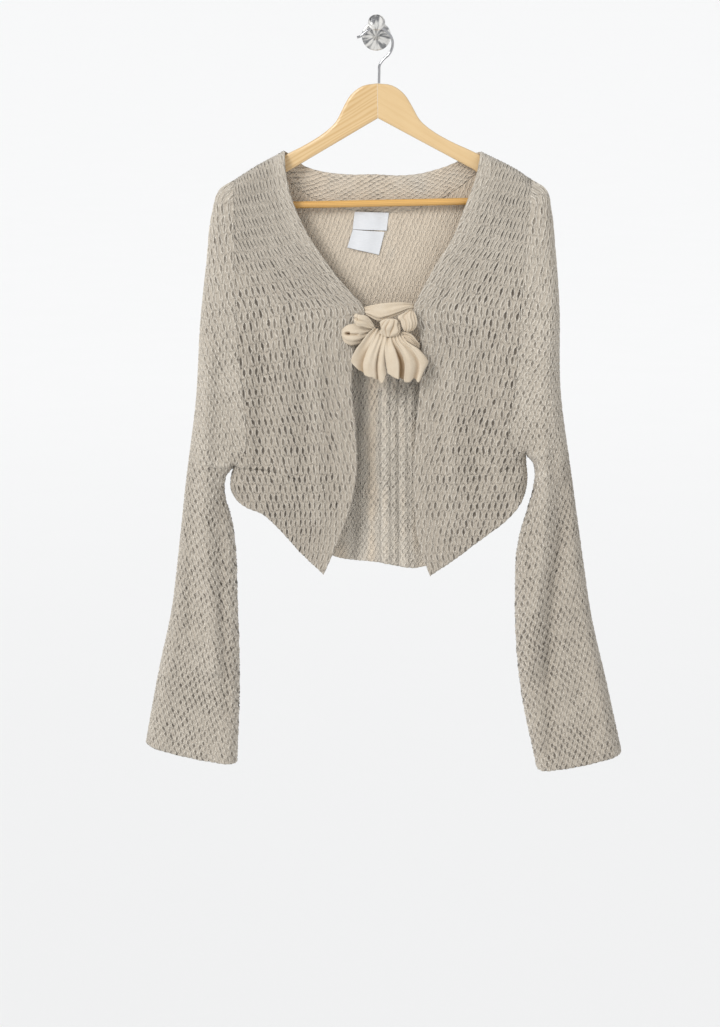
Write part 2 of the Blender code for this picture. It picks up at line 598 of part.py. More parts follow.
def build_cloth():
    knit = make_material("knit", KNIT_COLOUR, 0.95)
    band = make_material("band_knit", BAND_COLOUR, 0.95)
    panels = cloth_panels()
    normals = welded_normals(panels)
    sides = cloth_outlines().values()
    underarms = [side["SIDE"][0] for side in sides]
    corners = underarms + [side["ARMHOLE"][0] for side in sides] + [band_end(side)[-1] for side in sides]
    for name, grid in panels.items():
        inner = keep_faces_apart(name, grid - wall_at(grid, corners)[..., None] * normals[name])
        faces = [part_at_underarm(name, open_seams(face, normals[name]), underarms) for face in (grid, inner)]
        walled_grid(name, *faces, band if "band" in name else knit)


# Ribbon and labels


def grid_normals(grid):
    return unit(np.cross(np.gradient(grid, axis=0), np.gradient(grid, axis=1)))


def seat_on_knot(grid):
    """Moves a ribbon piece straight towards the knot's middle until it is a seam's gap from the knot."""
    middle = np.array([KNOT_MIDDLE[0] * CM, MID_Y - KNOT_MIDDLE[2] * CM, TOP_LINE - KNOT_MIDDLE[1] * CM])
    half_sizes = np.array(KNOT_HALF_SIZES)[[0, 2, 1]] * CM
    offsets = grid.reshape(-1, 3) - middle
    reach = np.linalg.norm(offsets / half_sizes, axis=1)
    room = np.linalg.norm(offsets, axis=1) * (1 - 1 / reach)
    nearest = room.argmin()
    return grid - unit(offsets[nearest]) * (room[nearest] - SEAM_GAP)


def build_ribbon_piece(name, sections, material):
    """A strip through its sections, slightly arched and pleated across its width."""
    steps = RIBBON_STEPS * (len(sections) - 1) + 1
    table = along(dense_curve(sections), np.linspace(0, 1, steps))
    across = np.linspace(-1, 1, RIBBON_COLUMNS + 1)
    middle = np.stack([table[:, 0] * CM, MID_Y - table[:, 2] * CM, TOP_LINE - table[:, 1] * CM], axis=1)
    half = np.stack([table[:, 3] * CM, -table[:, 5] * CM, -table[:, 4] * CM], axis=1)
    grid = middle[:, None] + across[None, :, None] * half[:, None]
    normals = grid_normals(grid)
    if normals[steps // 6, RIBBON_COLUMNS // 2, 1] > 0:
        grid, normals = grid[:, ::-1], -normals[:, ::-1]
    pleats = RIBBON_PLEATS.get(name, 1)
    half_width = np.linalg.norm(half, axis=1)[:, None, None]
    wave = np.cos(across * np.pi * pleats)[None, :, None] * RIBBON_PLEAT_SHARE * half_width
    grid = grid + wave * normals
    if name != "ribbon_strap":
        grid = seat_on_knot(grid)
    walled_grid(name, grid, grid - RIBBON_WALL * grid_normals(grid), material)


def build_knot(material):
    """The knot: a flattened ball."""
    polar = np.pi * np.arange(1, KNOT_RINGS)[:, None] / KNOT_RINGS
    angle = 2 * np.pi * np.arange(KNOT_SIDES)[None, :] / KNOT_SIDES
    x = KNOT_MIDDLE[0] + KNOT_HALF_SIZES[0] * np.sin(polar) * np.cos(angle)
    drop = KNOT_MIDDLE[1] + KNOT_HALF_SIZES[1] * np.cos(polar) + 0 * angle
    out = KNOT_MIDDLE[2] + KNOT_HALF_SIZES[2] * np.sin(polar) * np.sin(angle)
    points = np.stack([x * CM, MID_Y - out * CM, TOP_LINE - drop * CM], axis=-1).reshape(-1, 3)
    poles = [
        (KNOT_MIDDLE[0] * CM, MID_Y - KNOT_MIDDLE[2] * CM, TOP_LINE - (KNOT_MIDDLE[1] + end) * CM)
        for end in (KNOT_HALF_SIZES[1], -KNOT_HALF_SIZES[1])
    ]
    low, high, last = len(points), len(points) + 1, len(points) - KNOT_SIDES
    faces = ring_faces(KNOT_RINGS - 1, KNOT_SIDES)
    for step in range(KNOT_SIDES):
        after = (step + 1) % KNOT_SIDES
        faces.append((low, step, after))
        faces.append((high, last + after, last + step))
    knot = add_mesh("ribbon_knot", np.vstack([points, poles]), faces, material)
    face_outwards(knot)


def ring_faces(rings, sides):
    """Faces between rings of points, each ring with the same number of sides."""
    faces = []
    for ring in range(rings - 1):
        first, second = ring * sides, (ring + 1) * sides
        for step in range(sides):
            after = (step + 1) % sides
            faces.append((first + step, first + after, second + after, second + step))
    return faces


def face_outwards(thing):
    shape = bmesh.new()
    shape.from_mesh(thing.data)
    bmesh.ops.recalc_face_normals(shape, faces=shape.faces)
    shape.to_mesh(thing.data)
    shape.free()


def build_ribbon():
    material = make_material("ribbon", RIBBON_COLOUR, 0.8)
    for name, sections in RIBBONS.items():
        build_ribbon_piece(name, sections, material)
    build_knot(material)


def build_labels():
    material = make_material("label", LABEL_COLOUR, 0.7)
    for name, (upper, lower, turn) in LABELS.items():
        middle_x = (upper[0] + lower[0]) / 2 * CM
        middle_z = TOP_LINE - (upper[1] + lower[1]) / 2 * CM
        half_x, half_z = (lower[0] - upper[0]) / 2 * CM, (lower[1] - upper[1]) / 2 * CM
        s = np.linspace(-1, 1, 6)[None, :]
        t = np.linspace(1, -1, 3)[:, None]
        angle = np.radians(turn)
        x = middle_x + half_x * s * np.cos(angle) - half_z * t * np.sin(angle)
        z = middle_z + half_x * s * np.sin(angle) + half_z * t * np.cos(angle)
        y = MID_Y - LABEL_OUT - LABEL_WAVE * np.cos(LABEL_WAVES * np.pi * s) + 0 * t
        front = np.stack([x, y, z], axis=-1)
        back = front + np.array([0.0, LABEL_WALL, 0.0])
        walled_grid(name, front, back, material)


# Hanger and wall hook


def swept_tube(name, route, radii, sides, material):
    """A round tube with flat ends along a route of points."""
    route = np.array(route)
    radii = np.broadcast_to(radii, len(route))
    direction = unit(np.gradient(route, axis=0))
    flat_axis = np.array([0.0, 1.0, 0.0]) if abs(direction[0][1]) < 0.5 else np.array([1.0, 0.0, 0.0])
    side_axis = unit(flat_axis - (direction @ flat_axis)[:, None] * direction)
    third_axis = np.cross(direction, side_axis)
    angles = 2 * np.pi * np.arange(sides) / sides
    cosines, sines = np.cos(angles)[None, :, None], np.sin(angles)[None, :, None]
    ring = cosines * side_axis[:, None] + sines * third_axis[:, None]
    points = (route[:, None] + radii[:, None, None] * ring).reshape(-1, 3)
    faces = ring_faces(len(route), sides)
    faces += [tuple(range(sides)), tuple(range((len(route) - 1) * sides, len(route) * sides))]
    tube = add_mesh(name, points, faces, material)
    face_outwards(tube)
    return tube


def hanger_point(distance, drop):
    """A hanger point, tilted about the crook: signed distance from the middle and drop, in centimetres."""
    angle = np.radians(HANGER_TILT)
    x, below = distance * CM, (drop - HANGER_PIVOT_DROP) * CM
    tilted_x = x * np.cos(angle) + below * np.sin(angle)
    tilted_below = below * np.cos(angle) - x * np.sin(angle)
    return tilted_x, TOP_LINE - HANGER_PIVOT_DROP * CM - tilted_below


def build_arm(name, sign, material):
    """One arm of the hanger: a flat board with rounded edges, cut square at the middle joint."""
    joint = SEAM_GAP / 2 / CM
    top = dense_curve(ARM_TOP[:-1], 3)
    rim = [(joint, ARM_TOP[0][1])] + [tuple(row) for row in top[1:]] + [ARM_TOP[-1]]
    rim += ARM_BOTTOM[:-1] + [(joint, ARM_BOTTOM[-1][1])]
    shape = bmesh.new()
    corners = []
    for distance, drop in rim:
        x, z = hanger_point(sign * distance, drop)
        corners.append(shape.verts.new((x, MID_Y - ARM_THICKNESS / 2, z)))
    face = shape.faces.new(corners)
    extruded = bmesh.ops.extrude_face_region(shape, geom=[face])
    moved = [item for item in extruded["geom"] if isinstance(item, bmesh.types.BMVert)]
    bmesh.ops.translate(shape, verts=moved, vec=(0.0, ARM_THICKNESS, 0.0))
    bmesh.ops.recalc_face_normals(shape, faces=shape.faces)
    rims = [edge for edge in shape.edges if is_rim(edge)]
    bmesh.ops.bevel(
        shape, geom=rims, offset=ARM_ROUNDING, segments=2, profile=0.5, affect="EDGES", clamp_overlap=True
    )
    mesh = bpy.data.meshes.new(name)
    shape.to_mesh(mesh)
    shape.free()
    mesh.shade_smooth()
    mesh.set_sharp_from_angle(angle=np.radians(40.0))
    mesh.materials.append(material)
    bpy.context.scene.collection.objects.link(bpy.data.objects.new(name, mesh))


def is_rim(edge):
    """True for an edge of an arm's front or back face, apart from those along the middle joint."""
    first, second = edge.verts[0].co, edge.verts[1].co
    crosses_board = abs(first.y - second.y) > EDGE_TOLERANCE
    clear_of_joint = min(abs(first.x), abs(second.x)) > JOINT_REACH
    leaves_joint = abs(first.x - second.x) > JOINT_EDGE_RUN
    return not crosses_board and (clear_of_joint or leaves_joint)


def build_hanger():
    wood = make_material("hanger_wood", ARM_COLOUR, 0.45)
    bar_wood = make_material("bar_wood", BAR_COLOUR, 0.5)
    chrome = make_material("chrome", CHROME_COLOUR, 0.15, 1.0)
    build_arm("hanger_arm_right", -1, wood)
    build_arm("hanger_arm_left", 1, wood)
    ends = [hanger_point(sign * BAR_HALF_LENGTH / CM, BAR_DROP) for sign in (-1, 1)]
    swept_tube("hanger_bar", [(x, MID_Y, z) for x, z in ends], BAR_RADIUS, BAR_SIDES, bar_wood)
    route = along(dense_curve(WIRE_ROUTE, 12), np.linspace(0, 1, WIRE_POINTS))
    points = [(x * CM, MID_Y, TOP_LINE - drop * CM) for x, drop in route]
    swept_tube("hanger_hook", points, WIRE_RADIUS, WIRE_SIDES, chrome)


def build_wall_hook():
    steel = make_material("steel", STEEL_COLOUR, 0.35, 1.0)
    route = [(0, 0, 0), (0, -(PLATE_THICKNESS - PLATE_BEVEL), 0), (0, -PLATE_THICKNESS, 0)]
    radii = [PLATE_RADIUS, PLATE_RADIUS, PLATE_RADIUS - PLATE_BEVEL]
    swept_tube("wall_hook_plate", route, radii, PLATE_SIDES, steel)
    points = [(0.0, -out * CM, TOP_LINE - drop * CM) for out, drop, _ in PEG_STATIONS]
    radii = [radius * CM for _, _, radius in PEG_STATIONS]
    swept_tube("wall_hook_peg", points, radii, PEG_SIDES, steel)


def main():
    clear_scene()
    build_cloth()
    build_ribbon()
    build_labels()
    build_hanger()
    build_wall_hook()


if __name__ == "__main__":
    main()
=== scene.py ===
"""Dressed model of an openwork cardigan with a ribbon bow, on a wooden hanger and a round wall hook.

Metres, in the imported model's frame: +Z up, the viewer looks along +Y, and the wall is the plane y = 0.
Tables give sizes in centimetres. "Drop" is how far a point lies below the line TOP_LINE, and "out" is
how far it lies in front of the cloth's middle plane.
"""

import bpy
import numpy as np
from bpy.props import FloatProperty, FloatVectorProperty, PointerProperty
from bpy.types import Operator, Panel, PropertyGroup
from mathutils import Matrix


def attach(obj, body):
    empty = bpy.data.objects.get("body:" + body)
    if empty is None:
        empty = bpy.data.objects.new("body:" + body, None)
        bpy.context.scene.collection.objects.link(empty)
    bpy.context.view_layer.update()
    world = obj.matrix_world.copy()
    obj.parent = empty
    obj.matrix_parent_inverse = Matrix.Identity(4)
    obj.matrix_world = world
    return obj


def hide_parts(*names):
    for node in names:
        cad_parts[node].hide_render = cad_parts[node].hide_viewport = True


bl_info = {
    "name": "Openwork cardigan",
    "version": (1, 0, 0),
    "blender": (4, 5, 0),
    "location": "View3D > Sidebar > Cardigan",
    "description": "Builds a knitted cardigan with a ribbon bow on a wooden hanger",
    "category": "Add Mesh",
}

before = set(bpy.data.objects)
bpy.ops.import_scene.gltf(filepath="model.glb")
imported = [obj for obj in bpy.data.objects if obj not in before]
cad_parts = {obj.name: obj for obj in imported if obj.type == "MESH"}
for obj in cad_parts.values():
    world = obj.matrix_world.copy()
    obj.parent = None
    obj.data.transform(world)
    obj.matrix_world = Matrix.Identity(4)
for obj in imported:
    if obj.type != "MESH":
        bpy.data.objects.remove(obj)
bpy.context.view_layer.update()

CM = 0.01
TOP_LINE = 0.004
MID_Y = -0.025
WALL = 0.003
BAND_WIDTH = 0.018
RIBBON_WALL = 0.0007
LABEL_WALL = 0.0006
SEAM_GAP = 0.0003

# Outlines of the wearer's right side. Columns: drop, x
SHOULDER_RIGHT = [(14.8, -11.7), (17.1, -15.9), (18.6, -18.2)]
SLEEVE_OUTER_RIGHT = [
    (18.6, -18.2), (19.8, -20.0), (22.9, -21.0), (28.7, -21.7), (36.9, -22.6), (46.4, -23.2),
    (57.2, -24.6), (66.0, -25.6), (74.6, -26.7), (82.4, -28.4), (92.4, -30.3),
]
ARMHOLE_RIGHT = [
    (18.6, -18.2), (28.0, -18.1), (36.4, -17.9), (45.6, -17.2), (50.0, -16.8), (53.2, -16.9),
    (55.5, -18.4),
]
SIDE_RIGHT = [(55.5, -18.4), (56.9, -18.8), (58.6, -18.8), (59.9, -18.2)]
SLEEVE_INNER_RIGHT = [
    (55.5, -18.4), (57.0, -19.5), (59.5, -19.6), (62.0, -18.9), (65.2, -18.4), (73.2, -18.1),
    (84.0, -17.9), (95.1, -18.3),
]
FRONT_EDGE_RIGHT = [
    (14.8, -11.7), (18.2, -11.4), (21.5, -10.5), (24.8, -9.0), (29.4, -6.0), (32.6, -3.4),
    (34.9, -1.5), (38.5, -2.5), (44.8, -3.1), (50.7, -2.6), (56.0, -2.5), (59.9, -3.1), (63.9, -4.4),
    (69.6, -6.8),
]
HEM_RIGHT = [(69.6, -6.8), (66.6, -9.9), (63.9, -12.3), (61.6, -14.8), (60.7, -16.9), (59.9, -18.2)]

# Outlines of the wearer's left side. Columns: drop, x
SHOULDER_LEFT = [(14.9, 13.3), (17.4, 18.2), (18.5, 19.8)]
SLEEVE_OUTER_LEFT = [
    (18.5, 19.8), (19.8, 21.7), (22.6, 22.4), (27.0, 22.9), (34.2, 23.5), (45.7, 23.8), (56.4, 25.3),
    (66.0, 26.7), (76.0, 28.3), (84.0, 30.2), (93.7, 32.4),
]
ARMHOLE_LEFT = [
    (18.5, 19.8), (28.0, 19.0), (40.4, 18.2), (46.9, 17.7), (50.0, 17.2), (52.3, 17.3), (54.0, 19.4),
]
SIDE_LEFT = [(54.0, 19.4), (55.5, 19.5), (57.6, 19.6), (59.3, 19.3)]
SLEEVE_INNER_LEFT = [
    (54.0, 19.4), (55.2, 20.4), (58.0, 20.5), (61.5, 19.6), (65.2, 18.6), (73.2, 18.2),
    (84.0, 18.9), (96.0, 21.3),
]
FRONT_EDGE_LEFT = [
    (14.9, 13.3), (18.2, 12.6), (21.5, 11.4), (26.2, 9.5), (29.4, 7.5), (32.6, 5.8), (34.7, 4.8),
    (38.5, 5.6), (44.8, 5.6), (49.4, 5.2), (57.2, 4.8), (61.2, 5.0), (65.2, 5.5), (69.8, 7.0),
]
HEM_LEFT = [(69.8, 7.0), (67.4, 10.5), (65.0, 13.6), (62.9, 16.4), (61.3, 18.0), (59.3, 19.3)]

# Back. Columns: drop, x
BACK_NECK_EDGE = [
    (14.8, -11.7), (16.9, -9.0), (17.8, -4.9), (17.9, 0.0), (18.0, 4.0), (17.3, 7.6), (14.9, 13.3),
]
BACK_HEM = [
    (59.9, -18.2), (62.6, -14.0), (66.0, -9.0), (68.0, -4.2), (68.4, 0.0), (69.2, 5.0), (66.8, 11.5),
    (62.8, 16.0), (59.3, 19.3),
]
NECK_BAND_MIDDLE = 0.049

# How far the cloth's outer face stands from the middle plane: body, sleeve
FACE_DEPTHS = {"front": (0.018, 0.020), "back": (0.0125, 0.015)}
SHOULDER_ROUNDING = 0.012
EDGE_ROUNDING = 0.016
BODY_TO_SLEEVE = (0.160, 0.205)
CUFF_BOW = 0.004
SIDE_START = 0.82  # share of a front edge above the row that starts at the underarm
SLEEVE_TOP_SHARE = 0.0006  # share of the armhole above the sleeve's first row
SLEEVE_SPREAD = 1.3  # power that sets a sleeve's rows closer at the shoulder
CAP_SPREAD = 0.8  # power that spreads the rows of its cap along the outer fold
ELBOW_SHARE = 1.03  # length of the outer fold down to the underarm's row, for a length of armhole

# Large folds, as in the solids. Columns: side of the cloth, height, half width, path of (x, drop)
FOLDS = [
    ("front", 0.70, 1.1, [(-21.6, 41.0), (-22.1, 57.3), (-22.0, 65.3), (-21.4, 73.2), (-20.9, 82.0)]),
    ("front", -0.40, 0.9, [(-23.6, 55.0), (-24.2, 66.0), (-24.0, 76.0)]),
    ("front", 0.60, 1.1, [(21.3, 38.0), (21.8, 50.7), (21.7, 62.5), (20.8, 71.9), (20.3, 82.0)]),
    ("front", -0.45, 0.9, [(24.0, 58.0), (24.0, 66.0), (23.2, 75.8), (22.6, 83.8)]),
    ("front", -0.60, 1.2, [(-14.7, 36.0), (-14.6, 46.0), (-14.9, 55.0)]),
    ("front", 0.35, 1.3, [(-11.6, 40.0), (-11.2, 56.0)]),
    ("front", 0.40, 1.2, [(16.6, 44.0), (16.2, 58.0)]),
    ("front", -0.35, 1.1, [(13.4, 42.0), (13.0, 57.0)]),
    ("front", 0.35, 1.2, [(-27.0, 78.0), (-28.0, 92.0)]),
    ("front", 0.35, 1.2, [(28.6, 80.0), (30.0, 93.0)]),
    ("back", -0.40, 0.9, [(1.4, 42.0), (1.5, 69.0)]),
    ("back", -0.40, 0.8, [(4.3, 42.0), (4.4, 69.0)]),
    ("back", 0.40, 1.6, [(-9.0, 34.0), (-9.5, 66.0)]),
    ("back", 0.40, 1.6, [(11.0, 34.0), (11.5, 66.0)]),
    ("back", 0.35, 1.5, [(-22.5, 50.0), (-24.0, 90.0)]),
    ("back", 0.35, 1.5, [(23.0, 50.0), (25.5, 90.0)]),
]
# Small creases that the solids leave out, in the same columns
CREASES = [
    ("front", 0.22, 0.5, [(-21.5, 54.6), (-19.4, 55.4), (-17.2, 55.2)]),
    ("front", 0.20, 0.45, [(-21.2, 57.0), (-19.4, 57.6), (-17.4, 57.5)]),
    ("front", 0.22, 0.5, [(22.0, 53.4), (20.4, 54.0), (18.0, 53.8)]),
    ("front", 0.20, 0.45, [(22.2, 56.2), (20.6, 56.6), (18.4, 56.6)]),
    ("front", -0.25, 0.6, [(-20.0, 60.0), (-20.0, 74.0), (-19.6, 88.0)]),
    ("front", -0.36, 0.8, [(25.2, 54.0), (24.7, 62.0), (23.5, 69.0), (22.8, 75.0), (22.8, 93.0)]),
    ("front", 0.18, 0.8, [(21.4, 55.0), (22.2, 62.0), (21.4, 68.0), (20.9, 74.0)]),
    ("front", 0.18, 0.8, [(-8.0, 42.0), (-7.6, 62.0)]),
    ("front", 0.18, 0.8, [(9.6, 42.0), (9.6, 64.0)]),
    ("front", -0.18, 0.7, [(-6.2, 40.0), (-5.6, 60.0)]),
    # This crease and its painted shade stand where the right front's edge casts its shadow on the back
    ("back", 0.30, 0.7, [(-2.3, 43.0), (-2.7, 69.0)]),
    ("back", -0.15, 0.4, [(-0.4, 44.0), (-0.6, 69.0)]),
    ("back", 0.20, 0.3, [(0.6, 46.0), (0.7, 69.0)]),
    ("back", 0.22, 0.3, [(1.7, 43.0), (1.9, 69.0)]),
    ("back", 0.22, 0.35, [(2.8, 41.0), (3.0, 69.0)]),
    ("back", 0.25, 0.35, [(4.0, 44.0), (4.4, 69.0)]),
]

# Fine grids from which the pieces' even grids are taken
REGION_ROWS = 401
HALF_COLUMNS = 121
BACK_COLUMNS = 201

# Cloth pieces. Columns: rows and columns of the outer face, how many outer cells an inner cell spans,
# and of the cut piece width, length and area in metres
CLOTH = {
    "back": (251, 187, 1, 0.42, 0.54, 0.172),
    "front_right": (321, 121, 2, 0.16, 0.56, 0.056),
    "front_left": (321, 121, 2, 0.15, 0.56, 0.052),
    "sleeve_right": (505, 147, 2, 0.26, 0.79, 0.125),
    "sleeve_left": (505, 147, 2, 0.26, 0.80, 0.133),
    "neck_band": (161, 31, 2, 0.05, 0.27, 0.0115),
    "front_band_right": (401, 15, 2, 0.019, 0.62, 0.0112),
    "front_band_left": (401, 15, 2, 0.019, 0.60, 0.0108),
}
# Row heights as shares of the stitch height. Columns: drop, share
BODY_ROWS = [(0, 1.0), (40, 1.0), (50, 0.94), (60, 0.77)]
SLEEVE_ROWS = [(0, 1.0), (24, 0.92), (42, 0.56), (60, 0.51), (90, 0.50)]
ROW_FALL = 0.17  # how much the rows of the upper body fall outwards
SLEEVE_ROW_RISE = {"right": 0.40, "left": 0.45}  # how much the rows of a lower sleeve rise outwards
TURNED_SHARE = 0.62  # width of cloth taken by a turn, as a share of its depth
FRONT_SPREAD = (0.9, 0.13)  # how much the columns of a front follow its edge, and how far in this fades
BACK_COLUMN = 0.85  # width of a column of the back, as a share of the stitch width
NECK_STITCH = (0.86, 0.72)  # width and height of the neck band's stitches, as shares
FIRST_COUNT = 200.0  # keeps the counts of columns and rows above 0
# Uneven drifts. Columns: height, stretch across and down, scale in metres, seed
COLUMN_DRIFT = [(0.10, 1.0, 1.0, 0.09, 11), (0.07, 1.0, 1.0, 0.035, 12), (0.10, 1.0, 2.0, 0.05, 16)]
ROW_DRIFT = [(0.14, 1.0, 1.0, 0.10, 13), (0.22, 3.2, 1.0, 0.038, 15)]
GAPE_DRIFT = [(0.26, 1.0, 1.0, 0.12, 21), (0.18, 1.0, 1.0, 0.04, 22)]
SHADE_DRIFT = [(0.18, 1.0, 1.0, 0.07, 31), (0.10, 1.0, 1.0, 0.025, 32)]
FORM_DRIFT = [(0.0007, 1.0, 1.0, 0.06, 3), (0.0004, 1.0, 1.0, 0.025, 4)]
# How far stitches gape and how far the yarn is shaded. Columns: value at the top, then rises, each with
# its height, the drop in metres where it starts and its length
GAPE = {
    "back": (0.38, [(0.32, 0.34, 0.12)]),
    "front": (0.72, [(0.28, 0.2, 0.14), (0.15, 0.4, 0.12)]),
    "sleeve": (0.62, [(0.26, 0.5, 0.15)]),
    "neck": (0.72, []),
}
GAPE_MIDDLE = 0.92
GAPE_RANGE = (0.1, 1.25)
FRONT_EDGE_GAPE = (0.55, 0.07)  # share of the gape at a front's edge, and how far in it becomes whole
# Painted shade: the yarn's colour darkens lower down, in place of the light's fall-off
SHADE = {
    "back": (0.10, [(0.35, 0.3, 0.2)]),
    "front": (0.10, [(0.65, 0.22, 0.30)]),
    "sleeve_right": (0.10, [(0.15, 0.4, 0.25)]),
    "sleeve_left": (0.10, [(0.55, 0.4, 0.25)]),
    "neck": (0.30, []),
}
# Shape of a stitch, in shares of its width or height
SLACK = (0.40, 0.72)  # least slack of a stitch and its random part
STITCH_SLANT = 0.32
SLANT_SPREAD = 0.5
SLIT_REACH = 0.17
SLIT_GAPE = (0.55, 0.60)  # share of the reach of a closed slit, and what slack adds
SLIT_HALF_HEIGHT = 0.37
SLIT_END = 0.46  # where a slit has ended above and below, and where the small knots lie
SLIT_END_FADE = 0.14
SLIT_RIM = 0.05  # how far outside a slit's rim the hollow starts
SLIT_RIM_FADE = 0.12  # how far in from there the relief is full
SLIT_DARK = -0.08  # where the hollow's colour is full
STRAND_PLACE = 0.13
STRAND_WIDTH = 0.13
STRAND_HEIGHT = 0.45
SMALL_KNOT = 0.11  # half size of the small knots above and below a slit
INNER_GAUGE = (1.2, 2.0)  # the inner face shows smaller bumps: stitches across and down per outer one
BAND_PALENESS = 1.05  # how much lighter the light yarn of the bands is
CREASE_GAPE = 0.9  # share by which stitches gape more for each centimetre of a crease's depth
# Painted shade down in the creases
CREASE_SHADE = 1.8  # added to the shade for each centimetre of a crease's depth
SCALLOP = 0.0003  # how far the stitches of a free edge stand out and in
INNER_PALENESS = 0.9  # how much less the inner face tends to the shaded colour
FREE_EDGE_TAPER = (0.35, 0.8)  # share of the wall in the first rows from a free edge
INNER_RELIEF = 0.5  # share of the relief that the inner face of the back shows

# Ribbon pieces, row by row from the knot outwards. Columns: x and drop of one edge, x and drop of the
# other, out, how far the row's middle hangs below its chord, how far its middle stands out
RIBBONS = {
    "ribbon_strap": [
        (-1.9, 34.85, -1.8, 35.35, 1.25, 0.00, 0.05), (-0.7, 34.45, -0.8, 35.90, 1.95, 0.05, 0.15),
        (0.6, 34.20, 0.3, 36.40, 2.05, 0.10, 0.25), (1.8, 34.10, 1.6, 36.10, 2.05, 0.05, 0.25),
        (2.9, 34.05, 2.9, 35.60, 2.00, 0.00, 0.20), (4.0, 34.15, 4.1, 35.00, 1.85, 0.00, 0.10),
        (5.2, 34.45, 5.2, 34.85, 1.25, 0.00, 0.05),
    ],
    "ribbon_curl_right": [
        (-0.2, 37.00, -0.5, 37.35, 2.55, 0.00, 0.05), (-0.8, 36.10, -1.2, 37.15, 2.85, 0.05, 0.15),
        (-1.4, 35.65, -1.85, 36.95, 3.05, 0.05, 0.30), (-2.1, 35.55, -2.45, 36.85, 3.15, 0.00, 0.30),
        (-2.5, 35.40, -2.7, 36.55, 3.15, 0.00, 0.20), (-2.8, 35.70, -2.85, 36.15, 2.90, 0.00, 0.05),
    ],
    "ribbon_loop_right": [
        (-0.5, 37.35, -1.6, 38.55, 2.25, 0.00, 0.10), (-1.25, 37.15, -2.0, 39.15, 2.30, 0.00, 0.35),
        (-2.0, 36.90, -2.55, 39.40, 2.30, 0.00, 0.65), (-2.9, 36.75, -3.3, 39.50, 2.30, 0.00, 0.80),
        (-3.7, 36.95, -4.0, 39.20, 2.25, 0.00, 0.70), (-4.2, 37.35, -4.3, 38.70, 2.15, 0.00, 0.45),
        (-4.45, 37.85, -4.45, 38.15, 2.05, 0.00, 0.10),
    ],
    "ribbon_lobe_left": [
        (3.7, 37.55, 4.1, 37.75, 2.85, 0.05, 0.05), (3.4, 37.00, 4.85, 37.40, 3.00, 0.10, 0.30),
        (3.15, 36.20, 5.25, 36.55, 3.00, 0.05, 0.45), (2.8, 35.80, 5.15, 35.70, 2.95, -0.05, 0.35),
        (3.65, 35.25, 4.85, 35.10, 2.80, -0.05, 0.15), (4.45, 34.90, 4.65, 34.85, 2.50, 0.00, 0.00),
    ],
    "ribbon_loop_left": [
        (3.1, 37.85, 3.1, 38.40, 2.45, 0.00, 0.05), (3.8, 37.80, 3.55, 38.95, 2.60, 0.00, 0.20),
        (4.5, 37.95, 4.25, 39.50, 2.65, 0.00, 0.30), (5.0, 38.60, 4.85, 39.85, 2.55, 0.00, 0.25),
        (5.5, 39.40, 5.45, 39.90, 2.35, 0.00, 0.05),
    ],
    "ribbon_tail_right": [
        (-0.2, 37.15, 1.2, 37.90, 2.45, 0.00, 0.00), (-1.15, 38.05, 1.45, 38.75, 3.00, 0.10, 0.10),
        (-1.9, 39.05, 1.30, 39.70, 3.20, 0.20, 0.15), (-2.6, 40.00, 1.20, 40.75, 3.20, 0.30, 0.20),
        (-3.15, 41.20, 1.20, 41.95, 3.10, 0.70, 0.20), (-3.1, 41.65, 1.35, 42.95, 3.00, 1.35, 0.10),
    ],
    "ribbon_tail_left": [
        (1.3, 37.95, 3.05, 37.70, 2.40, 0.00, 0.00), (1.15, 38.85, 3.95, 38.85, 3.05, 0.05, 0.15),
        (1.1, 40.05, 5.60, 39.90, 3.30, 0.15, 0.25), (1.2, 41.45, 6.75, 41.55, 3.25, 0.40, 0.25),
        (1.45, 43.00, 6.20, 42.60, 3.05, 1.25, 0.10),
    ],
}
# Gathers of each ribbon piece. Columns: fine gathers across, their height in centimetres at the knot and
# at the end, wide folds across, their height at the knot and at the end
GATHERS = {
    "ribbon_strap": (3.2, 0.04, 0.04, 1.3, 0.06, 0.06),
    "ribbon_curl_right": (2.2, 0.06, 0.03, 1.0, 0.03, 0.05),
    "ribbon_loop_right": (3.4, 0.07, 0.02, 1.1, 0.03, 0.03),
    "ribbon_lobe_left": (5.0, 0.06, 0.06, 1.6, 0.07, 0.10),
    "ribbon_loop_left": (6.0, 0.09, 0.11, 1.8, 0.05, 0.08),
    "ribbon_tail_right": (4.6, 0.12, 0.01, 2.3, 0.05, 0.02),
    "ribbon_tail_left": (5.2, 0.12, 0.01, 2.6, 0.05, 0.02),
}
# Folds across the end of a ribbon piece. Columns: place across, height in centimetres
END_FOLDS = {
    "ribbon_tail_right": [
        (0.0, 0.10), (0.14, -0.12), (0.30, -0.36), (0.40, 0.20), (0.56, 0.30), (0.64, 0.22), (0.73, -0.32),
        (0.82, 0.10), (0.90, 0.22), (1.0, -0.05),
    ],
    "ribbon_tail_left": [
        (0.0, 0.0), (0.12, 0.16), (0.27, 0.36), (0.34, -0.60), (0.40, -0.50), (0.47, 0.34), (0.62, 0.14),
        (0.75, -0.34), (0.83, 0.20), (1.0, -0.10),
    ],
    "ribbon_curl_right": [(0.0, 0.05), (0.3, 0.10), (0.5, -0.12), (0.75, 0.08), (1.0, 0.0)],
}
# How far the end of a tail hangs below its even curve. Columns: place across, drop in centimetres
END_DROPS = {
    "ribbon_tail_right": [
        (0.0, 0.0), (0.18, 0.0), (0.24, -0.15), (0.6, -0.25), (0.78, 0.45), (0.86, 0.90), (0.95, 0.30),
        (1.0, 0.0),
    ],
    "ribbon_tail_left": [
        (0.0, 0.0), (0.1, -0.15), (0.31, -0.25), (0.57, 0.15), (0.71, -0.05), (0.82, 0.75), (0.92, 0.20),
        (1.0, 0.0),
    ],
}
